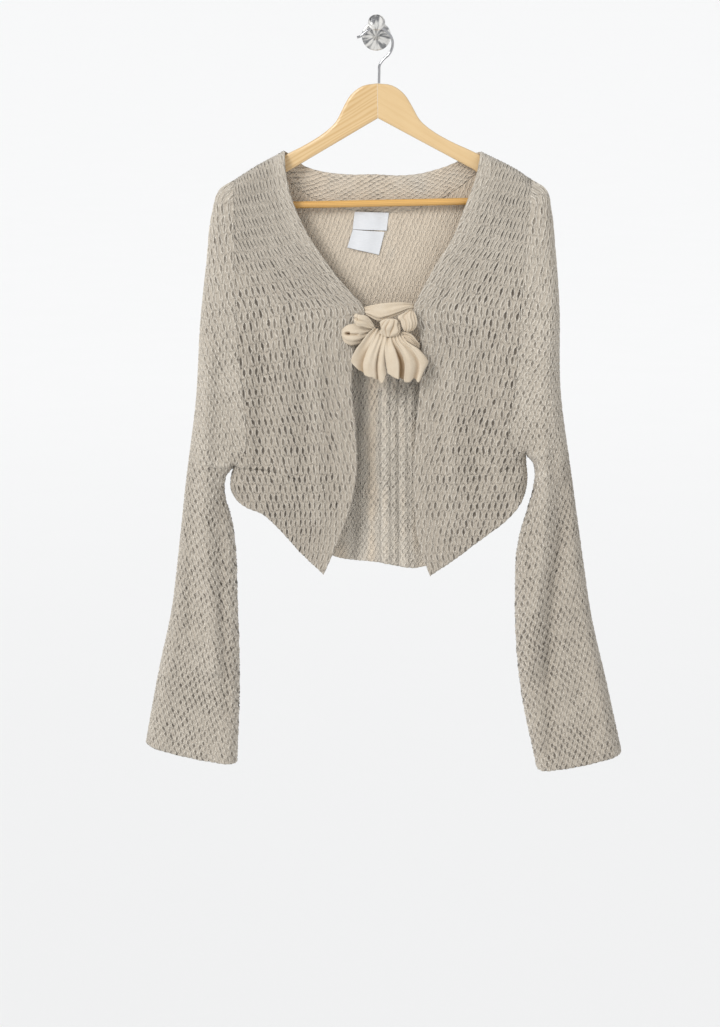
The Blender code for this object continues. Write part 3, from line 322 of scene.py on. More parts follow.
# Single creases. Columns: place across, start and end along, half width across, depth in centimetres
RIBBON_CREASES = {
    "ribbon_curl_right": [(0.45, 0.74, 0.84, 0.8, 0.22)],
    "ribbon_loop_right": [(0.42, 0.58, 0.84, 0.07, 0.90), (0.46, 0.30, 0.70, 0.05, 0.22)],
}
# Painted shade: ribbon points lying below this fold height are painted towards the hollow colour, fully over
# the range below
FOLD_SHADE_START = -0.02  # height in centimetres below which a fold darkens
FOLD_SHADE_RANGE = 0.55
RIBBON_ROWS = 61
RIBBON_COLUMNS = 57
KNOT_MIDDLE = (1.75, 37.20, 2.75)  # x, drop, out
KNOT_HALF_SIZES = (1.42, 1.20, 0.62)  # along x, drop and out
KNOT_RINGS, KNOT_SIDES = 61, 120
KNOT_GATHERS = 9
KNOT_GATHER_DEPTH = 0.34

# Labels. Columns: x and drop of the upper left corner and the lower right corner, turn in degrees, how far
# the lower edge moves to the right side, how far its left end hangs down
LABELS = {
    "neck_label": ((-2.8, 22.7), (1.6, 25.0), -2.0, 0.20, 0.0),
    "care_label": ((-3.1, 25.1), (1.0, 27.4), -4.0, 0.55, 0.65),
}
LABEL_OUT = -0.0075
LABEL_ROWS, LABEL_COLUMNS = 33, 61
LABEL_WAVES = (0.0008, 0.0005)  # across, and slanting

# Hanger
HANGER_TILT = 1.2
HANGER_PIVOT_DROP = 1.4
BAR_RADIUS = 0.0045
BAR_DROP = 21.5
BAR_HALF_LENGTH = 0.1673
BAR_RINGS, BAR_SIDES = 40, 40
WIRE_RADIUS = 0.00165
WIRE_RINGS, WIRE_SIDES = 150, 24
# Wire hook. Columns: x, drop
WIRE_ROUTE = [
    (0.33, 6.27), (0.36, 5.0), (0.42, 4.0), (0.75, 3.45), (1.73, 2.45), (2.06, 1.5), (1.93, 0.6),
    (1.50, -0.05), (0.85, -0.52), (0.0, -0.68), (-0.85, -0.50), (-1.55, 0.0), (-2.1, 0.42), (-2.45, 0.52),
]

# Wall hook, from the wall outwards. Columns: distance from the wall, drop, radius
PLATE_STATIONS = [
    (0.0, -0.4, 1.85), (0.30, -0.4, 1.85), (0.45, -0.4, 1.85), (0.52, -0.4, 1.82), (0.57, -0.4, 1.76),
    (0.60, -0.4, 1.66),
]
PEG_STATIONS = [
    (0.60, 0.40, 0.52), (0.66, 0.40, 0.48), (0.95, 0.40, 0.48), (1.60, 0.25, 0.47), (2.50, 0.02, 0.46),
    (3.40, -0.25, 0.46), (4.30, -0.65, 0.46), (5.00, -1.05, 0.48), (5.20, -1.17, 0.54),
    (5.30, -1.23, 0.86), (5.36, -1.27, 1.00), (5.45, -1.32, 1.06), (5.60, -1.41, 1.07),
    (5.72, -1.48, 1.04), (5.80, -1.52, 0.95), (5.81, -1.53, 0.6),
]
PLATE_SIDES, PEG_SIDES = 96, 64

FLOOR_HEIGHT = -1.9
FLOOR_RADIUS = 600.0
FLOOR_SIDES = 64
# Suns. Columns: name, turn in degrees, share of the key's strength, spread in degrees
LIGHTS = [("key", (60, 0, -42), 1.0, 22), ("fill", (60, 0, 45), 0.22, 70)]
CAMERA_PLACE = (-0.0208, -4.035, 0.093)


# Curves and patches


def unit(vectors):
    """Vectors divided by their lengths."""
    return vectors / np.maximum(np.linalg.norm(vectors, axis=-1, keepdims=True), 1e-12)


def smooth_step(value):
    """0 below 0, 1 above 1, and 3t squared less 2t cubed between."""
    t = np.clip(value, 0.0, 1.0)
    return t * t * (3 - 2 * t)


def dense_curve(table, steps=24):
    """A smooth curve through a table's points: cubic pieces, tangents weighted by the chords beside."""
    points = np.array(table, dtype=float)
    before = np.vstack([2 * points[0] - points[1], points[:-1]])
    after = np.vstack([points[1:], 2 * points[-1] - points[-2]])
    gap_before = np.linalg.norm(points - before, axis=1, keepdims=True)
    gap_after = np.linalg.norm(after - points, axis=1, keepdims=True)
    tangents = (points - before) / gap_before * gap_after + (after - points) / gap_after * gap_before
    tangents /= gap_before + gap_after
    lengths = np.linalg.norm(np.diff(points, axis=0), axis=1)[:, None, None]
    t = np.linspace(0.0, 1.0, steps, endpoint=False)[None, :, None]
    pieces = (
        (2 * t**3 - 3 * t**2 + 1) * points[:-1, None]
        + (t**3 - 2 * t**2 + t) * tangents[:-1, None] * lengths
        + (3 * t**2 - 2 * t**3) * points[1:, None]
        + (t**3 - t**2) * tangents[1:, None] * lengths
    )
    return np.vstack([pieces.reshape(-1, points.shape[1]), points[-1:]])


def outline(table):
    """A table's curve in the plane, as metres (x, z)."""
    curve = dense_curve(table)
    return np.stack([curve[:, 1] * CM, TOP_LINE - curve[:, 0] * CM], axis=1)


def along(curve, fractions):
    """Points at the given fractions of a curve's length."""
    steps = np.linalg.norm(np.diff(curve, axis=0), axis=1)
    lengths = np.concatenate([[0.0], np.cumsum(steps)])
    wanted = np.asarray(fractions) * lengths[-1]
    return np.stack([np.interp(wanted, lengths, curve[:, axis]) for axis in range(curve.shape[1])], axis=1)


def curve_length(curve):
    """Sum of a polyline's steps."""
    return np.linalg.norm(np.diff(curve, axis=0), axis=1).sum()


def distance_to(points, curve):
    """Least distance from each point (x, z) to a polyline's segments, in blocks that fit in memory."""
    flat = points.reshape(-1, 2)
    start = curve[None, :-1]
    step = curve[None, 1:] - start
    square = np.maximum((step**2).sum(-1), 1e-12)
    nearest = []
    for block in np.array_split(flat, max(1, len(flat) // 8000)):
        offset = block[:, None] - start
        share = np.clip((offset * step).sum(-1) / square, 0.0, 1.0)
        offset -= share[..., None] * step
        nearest.append(np.sqrt((offset**2).sum(-1).min(axis=1)))
    return np.concatenate(nearest).reshape(points.shape[:-1])


def clustered(count):
    """Fractions from 0 to 1 that lie close together at both ends: t less sin(2 pi t) / 2 pi."""
    t = np.linspace(0.0, 1.0, count)
    return t - np.sin(2 * np.pi * t) / (2 * np.pi)


def patch(top, bottom, start, end, u, v):
    """Coons patch: the sum of both rulings between opposite edges, less the ruling of the corners."""
    u, v = u[None, :, None], v[:, None, None]
    corners = (1 - u) * (1 - v) * top[0] + u * (1 - v) * top[-1]
    corners = corners + (1 - u) * v * bottom[0] + u * v * bottom[-1]
    return (1 - v) * top[None] + v * bottom[None] + (1 - u) * start[:, None] + u * end[:, None] - corners


def even_rows(flat, solid, count):
    """Rows of a patch at equal steps of their mean length in space, by straight interpolation."""
    steps = np.linalg.norm(np.diff(solid, axis=0), axis=-1).mean(axis=1)
    lengths = np.concatenate([[0.0], np.cumsum(steps)])
    place = np.interp(np.linspace(0, lengths[-1], count), lengths, np.arange(len(lengths)))
    low = np.minimum(place.astype(int), len(lengths) - 2)
    share = (place - low)[:, None, None]
    return tuple((1 - share) * grid[low] + share * grid[low + 1] for grid in (flat, solid))


def even_columns(flat, solid, count, first=0.0):
    """Each row's points at equal steps of its length in space, starting at the length first."""
    steps = np.linalg.norm(np.diff(solid, axis=1), axis=-1)
    lengths = np.concatenate([np.zeros((len(flat), 1)), np.cumsum(steps, axis=1)], axis=1)
    span = lengths[:, -1:] + 1e-9
    row = 2.0 * np.arange(len(flat))[:, None]
    known = (lengths / span + row).ravel()
    start = first / span
    wanted = (start + (1 - start) * np.linspace(0, 1, count)[None] + row).ravel()
    return np.stack([np.interp(wanted, known, flat[..., axis].ravel()) for axis in (0, 1)], axis=-1).reshape(
        len(flat), count, 2
    )


def wander(x, z, scale, seed):
    """A smooth uneven field from -1 to 1: the mean of five sine waves in fixed random directions."""
    source = np.random.default_rng(seed)
    total = 0.0
    for _ in range(5):
        turn, phase, stretch = source.uniform(0, 2 * np.pi, 3)
        pitch = scale * (0.7 + 0.1 * stretch)
        total = total + np.sin((x * np.cos(turn) + z * np.sin(turn)) * 2 * np.pi / pitch + phase)
    return total / 5


def drift(x, z, table):
    """Sum of a table's uneven fields, each stretched across and down."""
    return sum(
        height * wander(across * x, down * z, scale, seed) for height, across, down, scale, seed in table
    )


def rising(drop, row):
    """A value that starts as given and rises smoothly by each step in the row."""
    start, steps = row
    return start + sum(height * smooth_step((drop - low) / length) for height, low, length in steps)


# Form of the hanging cloth


def side_outlines():
    """Both sides' outline curves by name."""
    names = ("SHOULDER", "SLEEVE_OUTER", "ARMHOLE", "SIDE", "SLEEVE_INNER", "FRONT_EDGE", "HEM")
    right = (
        SHOULDER_RIGHT, SLEEVE_OUTER_RIGHT, ARMHOLE_RIGHT, SIDE_RIGHT, SLEEVE_INNER_RIGHT,
        FRONT_EDGE_RIGHT, HEM_RIGHT,
    )
    left = (
        SHOULDER_LEFT, SLEEVE_OUTER_LEFT, ARMHOLE_LEFT, SIDE_LEFT, SLEEVE_INNER_LEFT,
        FRONT_EDGE_LEFT, HEM_LEFT,
    )
    return {
        side: {name: outline(table) for name, table in zip(names, tables)}
        for side, tables in (("right", right), ("left", left))
    }


SIDES = side_outlines()


def rounding(distance, width):
    """Rises from 0 on a fold to 1 at the given width, as a quarter of an ellipse does."""
    share = np.clip(distance / width, 0.0, 1.0)
    return np.sqrt(1.0 - (1.0 - share) ** 2)


def fold_height(points, face, table):
    """Sum of the folds: each one's height times exp of minus the squared distance in half widths."""
    height = np.zeros(points.shape[:-1])
    for fold_face, rise, half_width, path in table:
        if fold_face == face:
            route = np.array([(x * CM, TOP_LINE - drop * CM) for x, drop in path])
            height += rise * CM * np.exp(-((distance_to(points, route) / (half_width * CM)) ** 2))
    return height


def cloth_form(points, face, fine=True):
    """Height of the outer face over the middle plane, and the shares left by the turn over the shoulder
    and by the turns at the sides."""
    body, sleeve = FACE_DEPTHS[face]
    inner_x, outer_x = BODY_TO_SLEEVE
    blend = smooth_step((np.abs(points[..., 0]) - inner_x) / (outer_x - inner_x))
    height = body + (sleeve - body) * blend + fold_height(points, face, FOLDS)
    if fine:
        height = height + fold_height(points, face, CREASES)
        height = height + drift(points[..., 0], points[..., 1], FORM_DRIFT)
    shoulder, sides = np.ones(height.shape), np.ones(height.shape)
    for x_sign, side in ((-1, SIDES["right"]), (1, SIDES["left"])):
        near = points[..., 0] * x_sign > -0.02
        spots = points[near]
        shoulder[near] *= rounding(distance_to(spots, side["SHOULDER"]), SHOULDER_ROUNDING)
        turn = rounding(distance_to(spots, side["SLEEVE_OUTER"]), EDGE_ROUNDING)
        notch = np.minimum(distance_to(spots, side["SIDE"]), distance_to(spots, side["SLEEVE_INNER"]))
        sides[near] *= turn * rounding(notch, EDGE_ROUNDING)
    return height * shoulder * sides, height * (1 - shoulder), height * (1 - sides)


def lift(points, face, fine=True):
    """Points (x, z) of the plane moved onto the cloth's outer face."""
    height = cloth_form(points, face, fine)[0]
    y = MID_Y - height if face == "front" else MID_Y + height
    return np.stack([points[..., 0], y, points[..., 1]], axis=-1)


def body_side_edge(side, v):
    """Armhole edge down to SIDE_START, then the side seam."""
    upper = along(side["ARMHOLE"], np.clip(v / SIDE_START, 0, 1))
    lower = along(side["SIDE"], np.clip((v - SIDE_START) / (1 - SIDE_START), 0, 1))
    return np.where((v > SIDE_START)[:, None], lower, upper)


def front_region(side):
    """Fine grid of a whole front with its band, columns from the front edge to the armhole."""
    u, v = clustered(HALF_COLUMNS), clustered(REGION_ROWS)
    return patch(
        along(side["SHOULDER"], u), along(side["HEM"], u), along(side["FRONT_EDGE"], v),
        body_side_edge(side, v), u, v,
    )


def band_share(side):
    """Share of the shoulder seam that the front band takes."""
    return BAND_WIDTH / curve_length(side["SHOULDER"])


def neck_edges(t):
    """The neck band's free edge and its seam with the back, at fractions t of its length."""
    edge = along(outline(BACK_NECK_EDGE), t)
    right = along(SIDES["right"]["SHOULDER"], [band_share(SIDES["right"])])[0]
    left = along(SIDES["left"]["SHOULDER"], [band_share(SIDES["left"])])[0]
    share = t[:, None]
    seam = edge + (1 - share) * (right - edge[0]) + share * (left - edge[-1])
    seam[:, 1] -= (NECK_BAND_MIDDLE - BAND_WIDTH / 2) * np.sin(np.pi * t) ** 0.8
    return edge, seam


def front_grid(name, rows, columns):
    """Flat grid of a front beside its band."""
    region = front_region(SIDES[name.split("_")[-1]])
    flat, solid = even_rows(region, lift(region, "front", False), rows)
    return even_columns(flat, solid, columns, first=BAND_WIDTH)


def front_band_grid(name, rows, columns):
    """Flat grid of a front's band: the first BAND_WIDTH of each row."""
    region = front_region(SIDES[name.split("_")[-1]])
    flat, _ = even_rows(region, lift(region, "front", False), rows)
    steps = np.linalg.norm(np.diff(flat, axis=1), axis=-1)
    lengths = np.concatenate([np.zeros((rows, 1)), np.cumsum(steps, axis=1)], axis=1)
    row = 10.0 * np.arange(rows)[:, None]
    wanted = (np.linspace(0, BAND_WIDTH, columns)[None] + row).ravel()
    known = (lengths + row).ravel()
    return np.stack([np.interp(wanted, known, flat[..., axis].ravel()) for axis in (0, 1)], axis=-1).reshape(
        rows, columns, 2
    )


def neck_band_grid(name, rows, columns):
    """Flat grid of the neck band: rows along its length, columns from the free edge to the seam.

    Its end rows follow the shoulder seams: each is moved by the seam's distance from its chord, and the
    move fades inwards with the eighth power."""
    t = clustered(rows)
    edge, seam = neck_edges(t)
    share = np.linspace(0, 1, columns)
    grid = (1 - share)[None, :, None] * edge[:, None] + share[None, :, None] * seam[:, None]
    for side, weight in (("right", (1 - t) ** 8), ("left", t**8)):
        end = along(SIDES[side]["SHOULDER"], band_share(SIDES[side]) * share)
        chord = end[0] + share[:, None] * (end[-1] - end[0])
        grid += weight[:, None, None] * (end - chord)[None]
    return grid


def back_grid(name, rows, columns):
    """Flat grid of the back, columns from the wearer's right to the left."""
    _, seam = neck_edges(clustered(HALF_COLUMNS))
    right = along(SIDES["right"]["SHOULDER"], np.linspace(1, band_share(SIDES["right"]), 40))
    left = along(SIDES["left"]["SHOULDER"], np.linspace(band_share(SIDES["left"]), 1, 40))
    u, v = clustered(BACK_COLUMNS), clustered(REGION_ROWS)
    top = along(np.vstack([right[:-1], seam, left[1:]]), u)
    hem = outline(BACK_HEM)
    bottom = along(hem, (top[:, 0] - top[0, 0]) / (top[-1, 0] - top[0, 0]))
    region = patch(top, bottom, body_side_edge(SIDES["right"], v), body_side_edge(SIDES["left"], v), u, v)
    flat, solid = even_rows(region, lift(region, "back", False), rows)
    return even_columns(flat, solid, columns)


def sleeve_rows(side, count):
    """Seam edge and outer fold of a sleeve laid flat, at matching rows from the shoulder to the cuff."""
    arm = curve_length(side["ARMHOLE"])
    inner_length = curve_length(side["SLEEVE_INNER"])
    outer_length = curve_length(side["SLEEVE_OUTER"])
    first = SLEEVE_TOP_SHARE ** (1 / SLEEVE_SPREAD)
    length = np.linspace(first, 1, count) ** SLEEVE_SPREAD * (arm + inner_length)
    upper = np.clip(length / arm, 0, 1)
    lower = np.clip((length - arm) / inner_length, 0, 1)
    below = length > arm
    inner = np.where(below[:, None], along(side["SLEEVE_INNER"], lower), along(side["ARMHOLE"], upper))
    elbow = arm * ELBOW_SHARE / outer_length
    outer_share = np.where(below, elbow + (1 - elbow) * lower, elbow * upper**CAP_SPREAD)
    return inner, along(side["SLEEVE_OUTER"], outer_share), lower


def sleeve_half_grid(name, rows, columns, face):
    """Flat grid of half a sleeve, columns from the seam to the outer fold."""
    inner, outer, lower = sleeve_rows(SIDES[name.split("_")[-1]], rows)
    share = clustered(HALF_COLUMNS)[None, :, None]
    region = (1 - share) * inner[:, None] + share * outer[:, None]
    region[..., 1] -= CUFF_BOW * 4 * share[..., 0] * (1 - share[..., 0]) * lower[:, None]
    return even_columns(region, lift(region, face, False), columns)


# Stitches


def random_share(column, row, seed):
    """A fixed random number from 0 to 1 for each stitch: the fraction of a large sine."""
    value = np.sin(column * 12.9898 + row * 78.233 + seed * 37.719) * 43758.5453
    return value - np.floor(value)


def stitch_values(p, q, openness):
    """Relief, slack and lean of stitches at column and row coordinates p and q.

    Every second row is moved by half a stitch. A stitch is a slanted lens-shaped slit whose half width is
    a parabola of the height, between raised strands that follow its rim. Slack says how far it gapes."""
    row = np.floor(q)
    shifted = p + 0.5 * np.mod(row, 2)
    column = np.floor(shifted)
    down = q - row - 0.5
    slack = np.clip((SLACK[0] + SLACK[1] * random_share(column, row, 1)) * openness, 0.0, 1.0)
    lean = STITCH_SLANT + (random_share(column, row, 2) - 0.5) * SLANT_SPREAD
    leaning = shifted - column - 0.5 + lean * down
    reach = SLIT_REACH * (SLIT_GAPE[0] + SLIT_GAPE[1] * slack) * (1 - (down / SLIT_HALF_HEIGHT) ** 2)
    rim = np.abs(leaning) - reach
    hollow = smooth_step((SLIT_RIM - rim) / SLIT_RIM_FADE) * slack
    hollow = hollow * smooth_step((SLIT_END - np.abs(down)) / SLIT_END_FADE)
    strand = smooth_step(1 - np.abs(rim - STRAND_PLACE) / STRAND_WIDTH)
    return STRAND_HEIGHT * strand - hollow, slack, lean


def row_count(drop, table, height):
    """Rows from the top down to each drop: the sum of small steps over the row height found there."""
    fine = np.linspace(-0.15, 1.15, 521)
    places, shares = np.array(table, dtype=float).T
    density = 1 / (height * np.interp(fine, places * CM, shares))
    steps = 0.5 * (fine[1] - fine[0]) * (density[1:] + density[:-1])
    return np.interp(drop, fine, np.concatenate([[0.0], np.cumsum(steps)]))


def knit_coordinates(name, flat, face, sizes):
    """Stitch columns p and rows q of a cloth piece at its flat points, counted along the cloth."""
    width, height = sizes.stitch_width, sizes.stitch_height
    _, over_shoulder, round_side = cloth_form(flat, face, False)
    x, drop = flat[..., 0], TOP_LINE - flat[..., 1]
    outwards = np.abs(x)
    level = drop - TURNED_SHARE * over_shoulder
    side_name = name.split("_")[-1]
    if name.startswith("sleeve"):
        fold = distance_to(flat, SIDES[side_name]["SLEEVE_OUTER"])
        depth = sum(FACE_DEPTHS[face]) / 2 * rounding(fold, EDGE_ROUNDING)
        p = (fold + TURNED_SHARE * depth) / width
        p = -p if face == "front" else p
        slope = (SLEEVE_ROW_RISE[side_name] + ROW_FALL) * smooth_step((drop - 0.42) / 0.22) - ROW_FALL
        q = row_count(level + slope * (outwards - 0.19), SLEEVE_ROWS, height)
    elif name.startswith("front"):
        edge = SIDES[side_name]["FRONT_EDGE"]
        edge_x = np.abs(np.interp(drop, TOP_LINE - edge[:, 1], edge[:, 0]))
        inset = outwards - edge_x
        shift = FRONT_SPREAD[0] * smooth_step(inset / FRONT_SPREAD[1]) * (edge_x - edge_x.min())
        p = (inset + shift + TURNED_SHARE * round_side) / width
        slope = -ROW_FALL * (1 - smooth_step((drop - 0.42) / 0.16))
        q = row_count(level + slope * (outwards - 0.10), BODY_ROWS, height)
    elif name == "back":
        p = (x + np.sign(x) * TURNED_SHARE * round_side) / (BACK_COLUMN * width)
        q = row_count(level, BODY_ROWS, height)
    else:
        p = distance_to(flat, outline(BACK_NECK_EDGE)) / (NECK_STITCH[0] * width)
        q = x / (NECK_STITCH[1] * height)
    return p + drift(x, drop, COLUMN_DRIFT) + FIRST_COUNT, q + drift(x, drop, ROW_DRIFT) + FIRST_COUNT


def crease_depth(flat, face):
    """Depth of the creases in centimetres as they are seen from the front: less than 0 on a ridge."""
    return fold_height(flat, face, CREASES) / CM * (1 if face == "back" else -1)


def openness_field(flat, face, name):
    """How far stitches gape: more where the cloth hangs stretched, less on bands and front edges."""
    x, drop = flat[..., 0], TOP_LINE - flat[..., 1]
    kind, side_name = name.split("_")[0], name.split("_")[-1]
    value = (GAPE_MIDDLE + drift(x, drop, GAPE_DRIFT)) * rising(drop, GAPE[kind])
    if kind == "front":
        share, reach = FRONT_EDGE_GAPE
        inset = distance_to(flat, SIDES[side_name]["FRONT_EDGE"])
        value = value * (share + (1 - share) * smooth_step(inset / reach))
    return np.clip(value * (1 + CREASE_GAPE * crease_depth(flat, face)), *GAPE_RANGE)


def shade_field(flat, face, name):
    """Painted shade of the yarn, as how far it tends to its shaded colour: a slow drift of tone, more painted
    shade lower down on the fronts, the back and the sleeves, and painted shade down in the creases as they
    are seen from the front."""
    x, drop = flat[..., 0], TOP_LINE - flat[..., 1]
    row = SHADE[name if name.startswith("sleeve") else name.split("_")[0]]
    value = rising(drop, row) + drift(x, drop, SHADE_DRIFT)
    return np.clip(value + CREASE_SHADE * crease_depth(flat, face), -1.0, 1.0)


# Meshes


def grid_normals(grid):
    """Cross product of a grid's steps down and across, made unit length."""
    return unit(np.cross(np.gradient(grid, axis=0), np.gradient(grid, axis=1)))


def grid_quads(index):
    """Corner numbers of a grid's cells, in the order down then across."""
    return np.stack([index[:-1, :-1], index[1:, :-1], index[1:, 1:], index[:-1, 1:]], axis=-1).reshape(-1, 4)


def border_of(index):
    """A grid's border vertices in order, starting at the first corner."""
    return np.concatenate([index[0, :-1], index[:-1, -1], index[-1, :0:-1], index[:0:-1, 0]])


def shell_faces(outer_shape, inner_shape):
    """Faces of a closed wall: outer cells, inner cells the other way round, and the rim between.

    Where the inner grid has half as many cells each way, a rim cell is a triangle and a quad."""
    outer = np.arange(outer_shape[0] * outer_shape[1]).reshape(outer_shape)
    inner = outer.size + np.arange(inner_shape[0] * inner_shape[1]).reshape(inner_shape)
    faces = grid_quads(outer).tolist() + grid_quads(inner)[:, ::-1].tolist()
    far, near = border_of(outer), border_of(inner)
    near_next = np.roll(near, -1)
    if len(far) == len(near):
        return faces + np.stack([far, np.roll(far, -1), near_next, near], axis=1).tolist()
    first, second, third = far[0::2], far[1::2], np.roll(far[0::2], -1)
    faces += np.stack([first, second, near], axis=1).tolist()
    return faces + np.stack([second, third, near_next, near], axis=1).tolist()


def new_piece(name, vertices, faces, material, uv=None, attributes=None, sharp=None):
    """A mesh object at the origin, with its UV map and point attributes, riding on the only body."""
    mesh = bpy.data.meshes.new(name)
    mesh.from_pydata(vertices, [], faces)
    mesh.update()
    mesh.shade_smooth()
    if sharp is not None:
        mesh.set_sharp_from_angle(angle=np.radians(sharp))
    if uv is not None:
        corners = np.empty(len(mesh.loops), dtype=np.int32)
        mesh.loops.foreach_get("vertex_index", corners)
        layer = mesh.uv_layers.new(name="stitches")
        layer.data.foreach_set("uv", uv[corners].astype(np.float32).ravel())
    for key, values in (attributes or {}).items():
        layer = mesh.attributes.new(key, "FLOAT_VECTOR", "POINT")
        layer.data.foreach_set("vector", values.astype(np.float32).ravel())
    mesh.materials.append(material)
    piece = bpy.data.objects.new(name, mesh)
    bpy.context.scene.collection.objects.link(piece)
    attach(piece, "root")
    return piece


def tube_piece(name, route, radii, sides, material, sharp=40.0):
    """A round tube along a route: each ring turns about the route's direction, with flat ends."""
    route = np.array(route, dtype=float)
    radii = np.broadcast_to(radii, len(route))
    direction = unit(np.gradient(route, axis=0))
    flat_axis = np.array([0.0, 1.0, 0.0]) if abs(direction[0][1]) < 0.5 else np.array([1.0, 0.0, 0.0])
    side_axis = unit(flat_axis - (direction @ flat_axis)[:, None] * direction)
    third_axis = np.cross(direction, side_axis)
    angles = (2 * np.pi * np.arange(sides) / sides)[None, :, None]
    ring = np.cos(angles) * side_axis[:, None] + np.sin(angles) * third_axis[:, None]
    points = (route[:, None] + radii[:, None, None] * ring).reshape(-1, 3)
    index = np.arange(len(route) * sides).reshape(len(route), sides)
    closed = np.concatenate([index, index[:, :1]], axis=1)
    faces = grid_quads(closed)[:, ::-1].tolist()
    faces += [index[0][::-1].tolist(), index[-1].tolist()]
    return new_piece(name, points, faces, material, sharp=sharp)


def cloth_fields(name, flat, face, sizes):
    """A piece's outer face at its flat points, with its stitch counts, openness and shade."""
    p, q = knit_coordinates(name, flat, face, sizes)
    return lift(flat, face), p, q, openness_field(flat, face, name), shade_field(flat, face, name)


def cloth_grid(name, rows, columns, sizes):
    """The fields of a whole piece. A sleeve is its front half and its back half, joined at the outer fold."""
    if name.startswith("sleeve"):
        half = (columns + 1) // 2
        flats = {face: sleeve_half_grid(name, rows, half, face) for face in ("front", "back")}
        front, back = (cloth_fields(name, flat, face, sizes) for face, flat in flats.items())
        return [np.concatenate([first, second[:, -2::-1]], axis=1) for first, second in zip(front, back)]
    makers = {"back": back_grid, "neck_band": neck_band_grid}
    maker = makers.get(name) or (front_band_grid if "band" in name else front_grid)
    face = "front" if name.startswith("front") else "back"
    return list(cloth_fields(name, maker(name, rows, columns), face, sizes))


def cloth_piece(name, sizes, material):
    """Outer face, stitch relief, inner face and rim of one cloth piece."""
    rows, columns, span, width, length, area = CLOTH[name]
    grid, p, q, openness, shade = cloth_grid(name, rows, columns, sizes)
    grid = scalloped(name, grid, p, q)
    fields = [grid, p, q, openness, shade, free_edge_taper(name, rows, columns)]
    middle = (rows // 2, 4 if name.startswith("sleeve") else columns // 2)
    outwards = 1.0 if name in ("back", "neck_band") else -1.0
    if grid_normals(grid)[middle][1] * outwards < 0:
        fields = [values[:, ::-1] for values in fields]
    grid, p, q, openness, shade, taper = fields
    normals = grid_normals(grid)
    relief, slack, lean = stitch_values(p, q, openness)
    thinned = (1 - taper) * WALL / 2
    outer = grid + normals * (relief * sizes.relief - thinned)[..., None]
    inner = keep_apart(name, grid - normals * (WALL - thinned)[..., None])
    if span == 1:
        inner = inner - normals * (INNER_RELIEF * relief * sizes.relief)[..., None]
    inner = inner[::span, ::span]
    stitch = np.stack([slack, lean, shade], axis=-1)
    inner_stitch = stitch[::span, ::span] - np.array([0.0, 0.0, INNER_PALENESS])
    stitch = np.concatenate([stitch.reshape(-1, 3), inner_stitch.reshape(-1, 3)])
    uv = np.stack([p, q], axis=-1)
    uv = np.concatenate([uv.reshape(-1, 2), (uv[::span, ::span] * INNER_GAUGE).reshape(-1, 2)])
    vertices = np.concatenate([outer.reshape(-1, 3), inner.reshape(-1, 3)])
    faces = shell_faces(outer.shape[:2], inner.shape[:2])
    piece = new_piece(name + "_cloth", vertices, faces, material, uv, {"stitch": stitch})
    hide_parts(name)


def edge_bulge(count):
    """A cosine of the stitch count plus a slower sine, in metres."""
    return SCALLOP * (np.cos(2 * np.pi * count) + 0.6 * np.sin(1.7 * count + 1.0))[:, None]


def scalloped(name, grid, p, q):
    """Moves free edges along the cloth, so that each stitch bulges a little."""
    moved = grid.copy()
    if name.startswith(("front", "back", "sleeve")):
        outwards = unit(grid[-1] - grid[-3]) * edge_bulge(p[-1])
        moved[-1] += outwards
        moved[-2] += 0.5 * outwards
    if "band" in name:
        fade = smooth_step(np.linspace(0, 1, len(q)) / 0.04)[:, None]
        moved[:, 0] += 0.7 * unit(grid[:, 0] - grid[:, 2]) * edge_bulge(q[:, 0]) * fade
    return moved


def free_edge_taper(name, rows, columns):
    """Share of the wall at each grid point: less in the first rows from a free edge, so that it is round."""
    ramp = np.array(FREE_EDGE_TAPER)
    down, across = np.ones(rows), np.ones(columns)
    if name.startswith(("front", "back", "sleeve")):
        down[-1], down[-2] = ramp
    if "band" in name:
        across[:2] = ramp
    return np.minimum(down[:, None], across[None, :])


def keep_apart(name, inner):
    """Keeps the inner face of each half on its own side of the middle plane."""
    apart = inner.copy()
    front, back = MID_Y - SEAM_GAP / 2, MID_Y + SEAM_GAP / 2
    if name.startswith("sleeve"):
        fold = inner.shape[1] // 2
        first, last = apart[:, :fold], apart[:, fold + 1:]
        if inner[len(inner) // 2, 4, 1] > MID_Y:
            first, last = last, first
        first[..., 1] = np.minimum(first[..., 1], front)
        last[..., 1] = np.maximum(last[..., 1], back)
    elif name.startswith("front"):
        apart[..., 1] = np.minimum(apart[..., 1], front)
    else:
        apart[..., 1] = np.maximum(apart[..., 1], back)
    return apart


# Materials


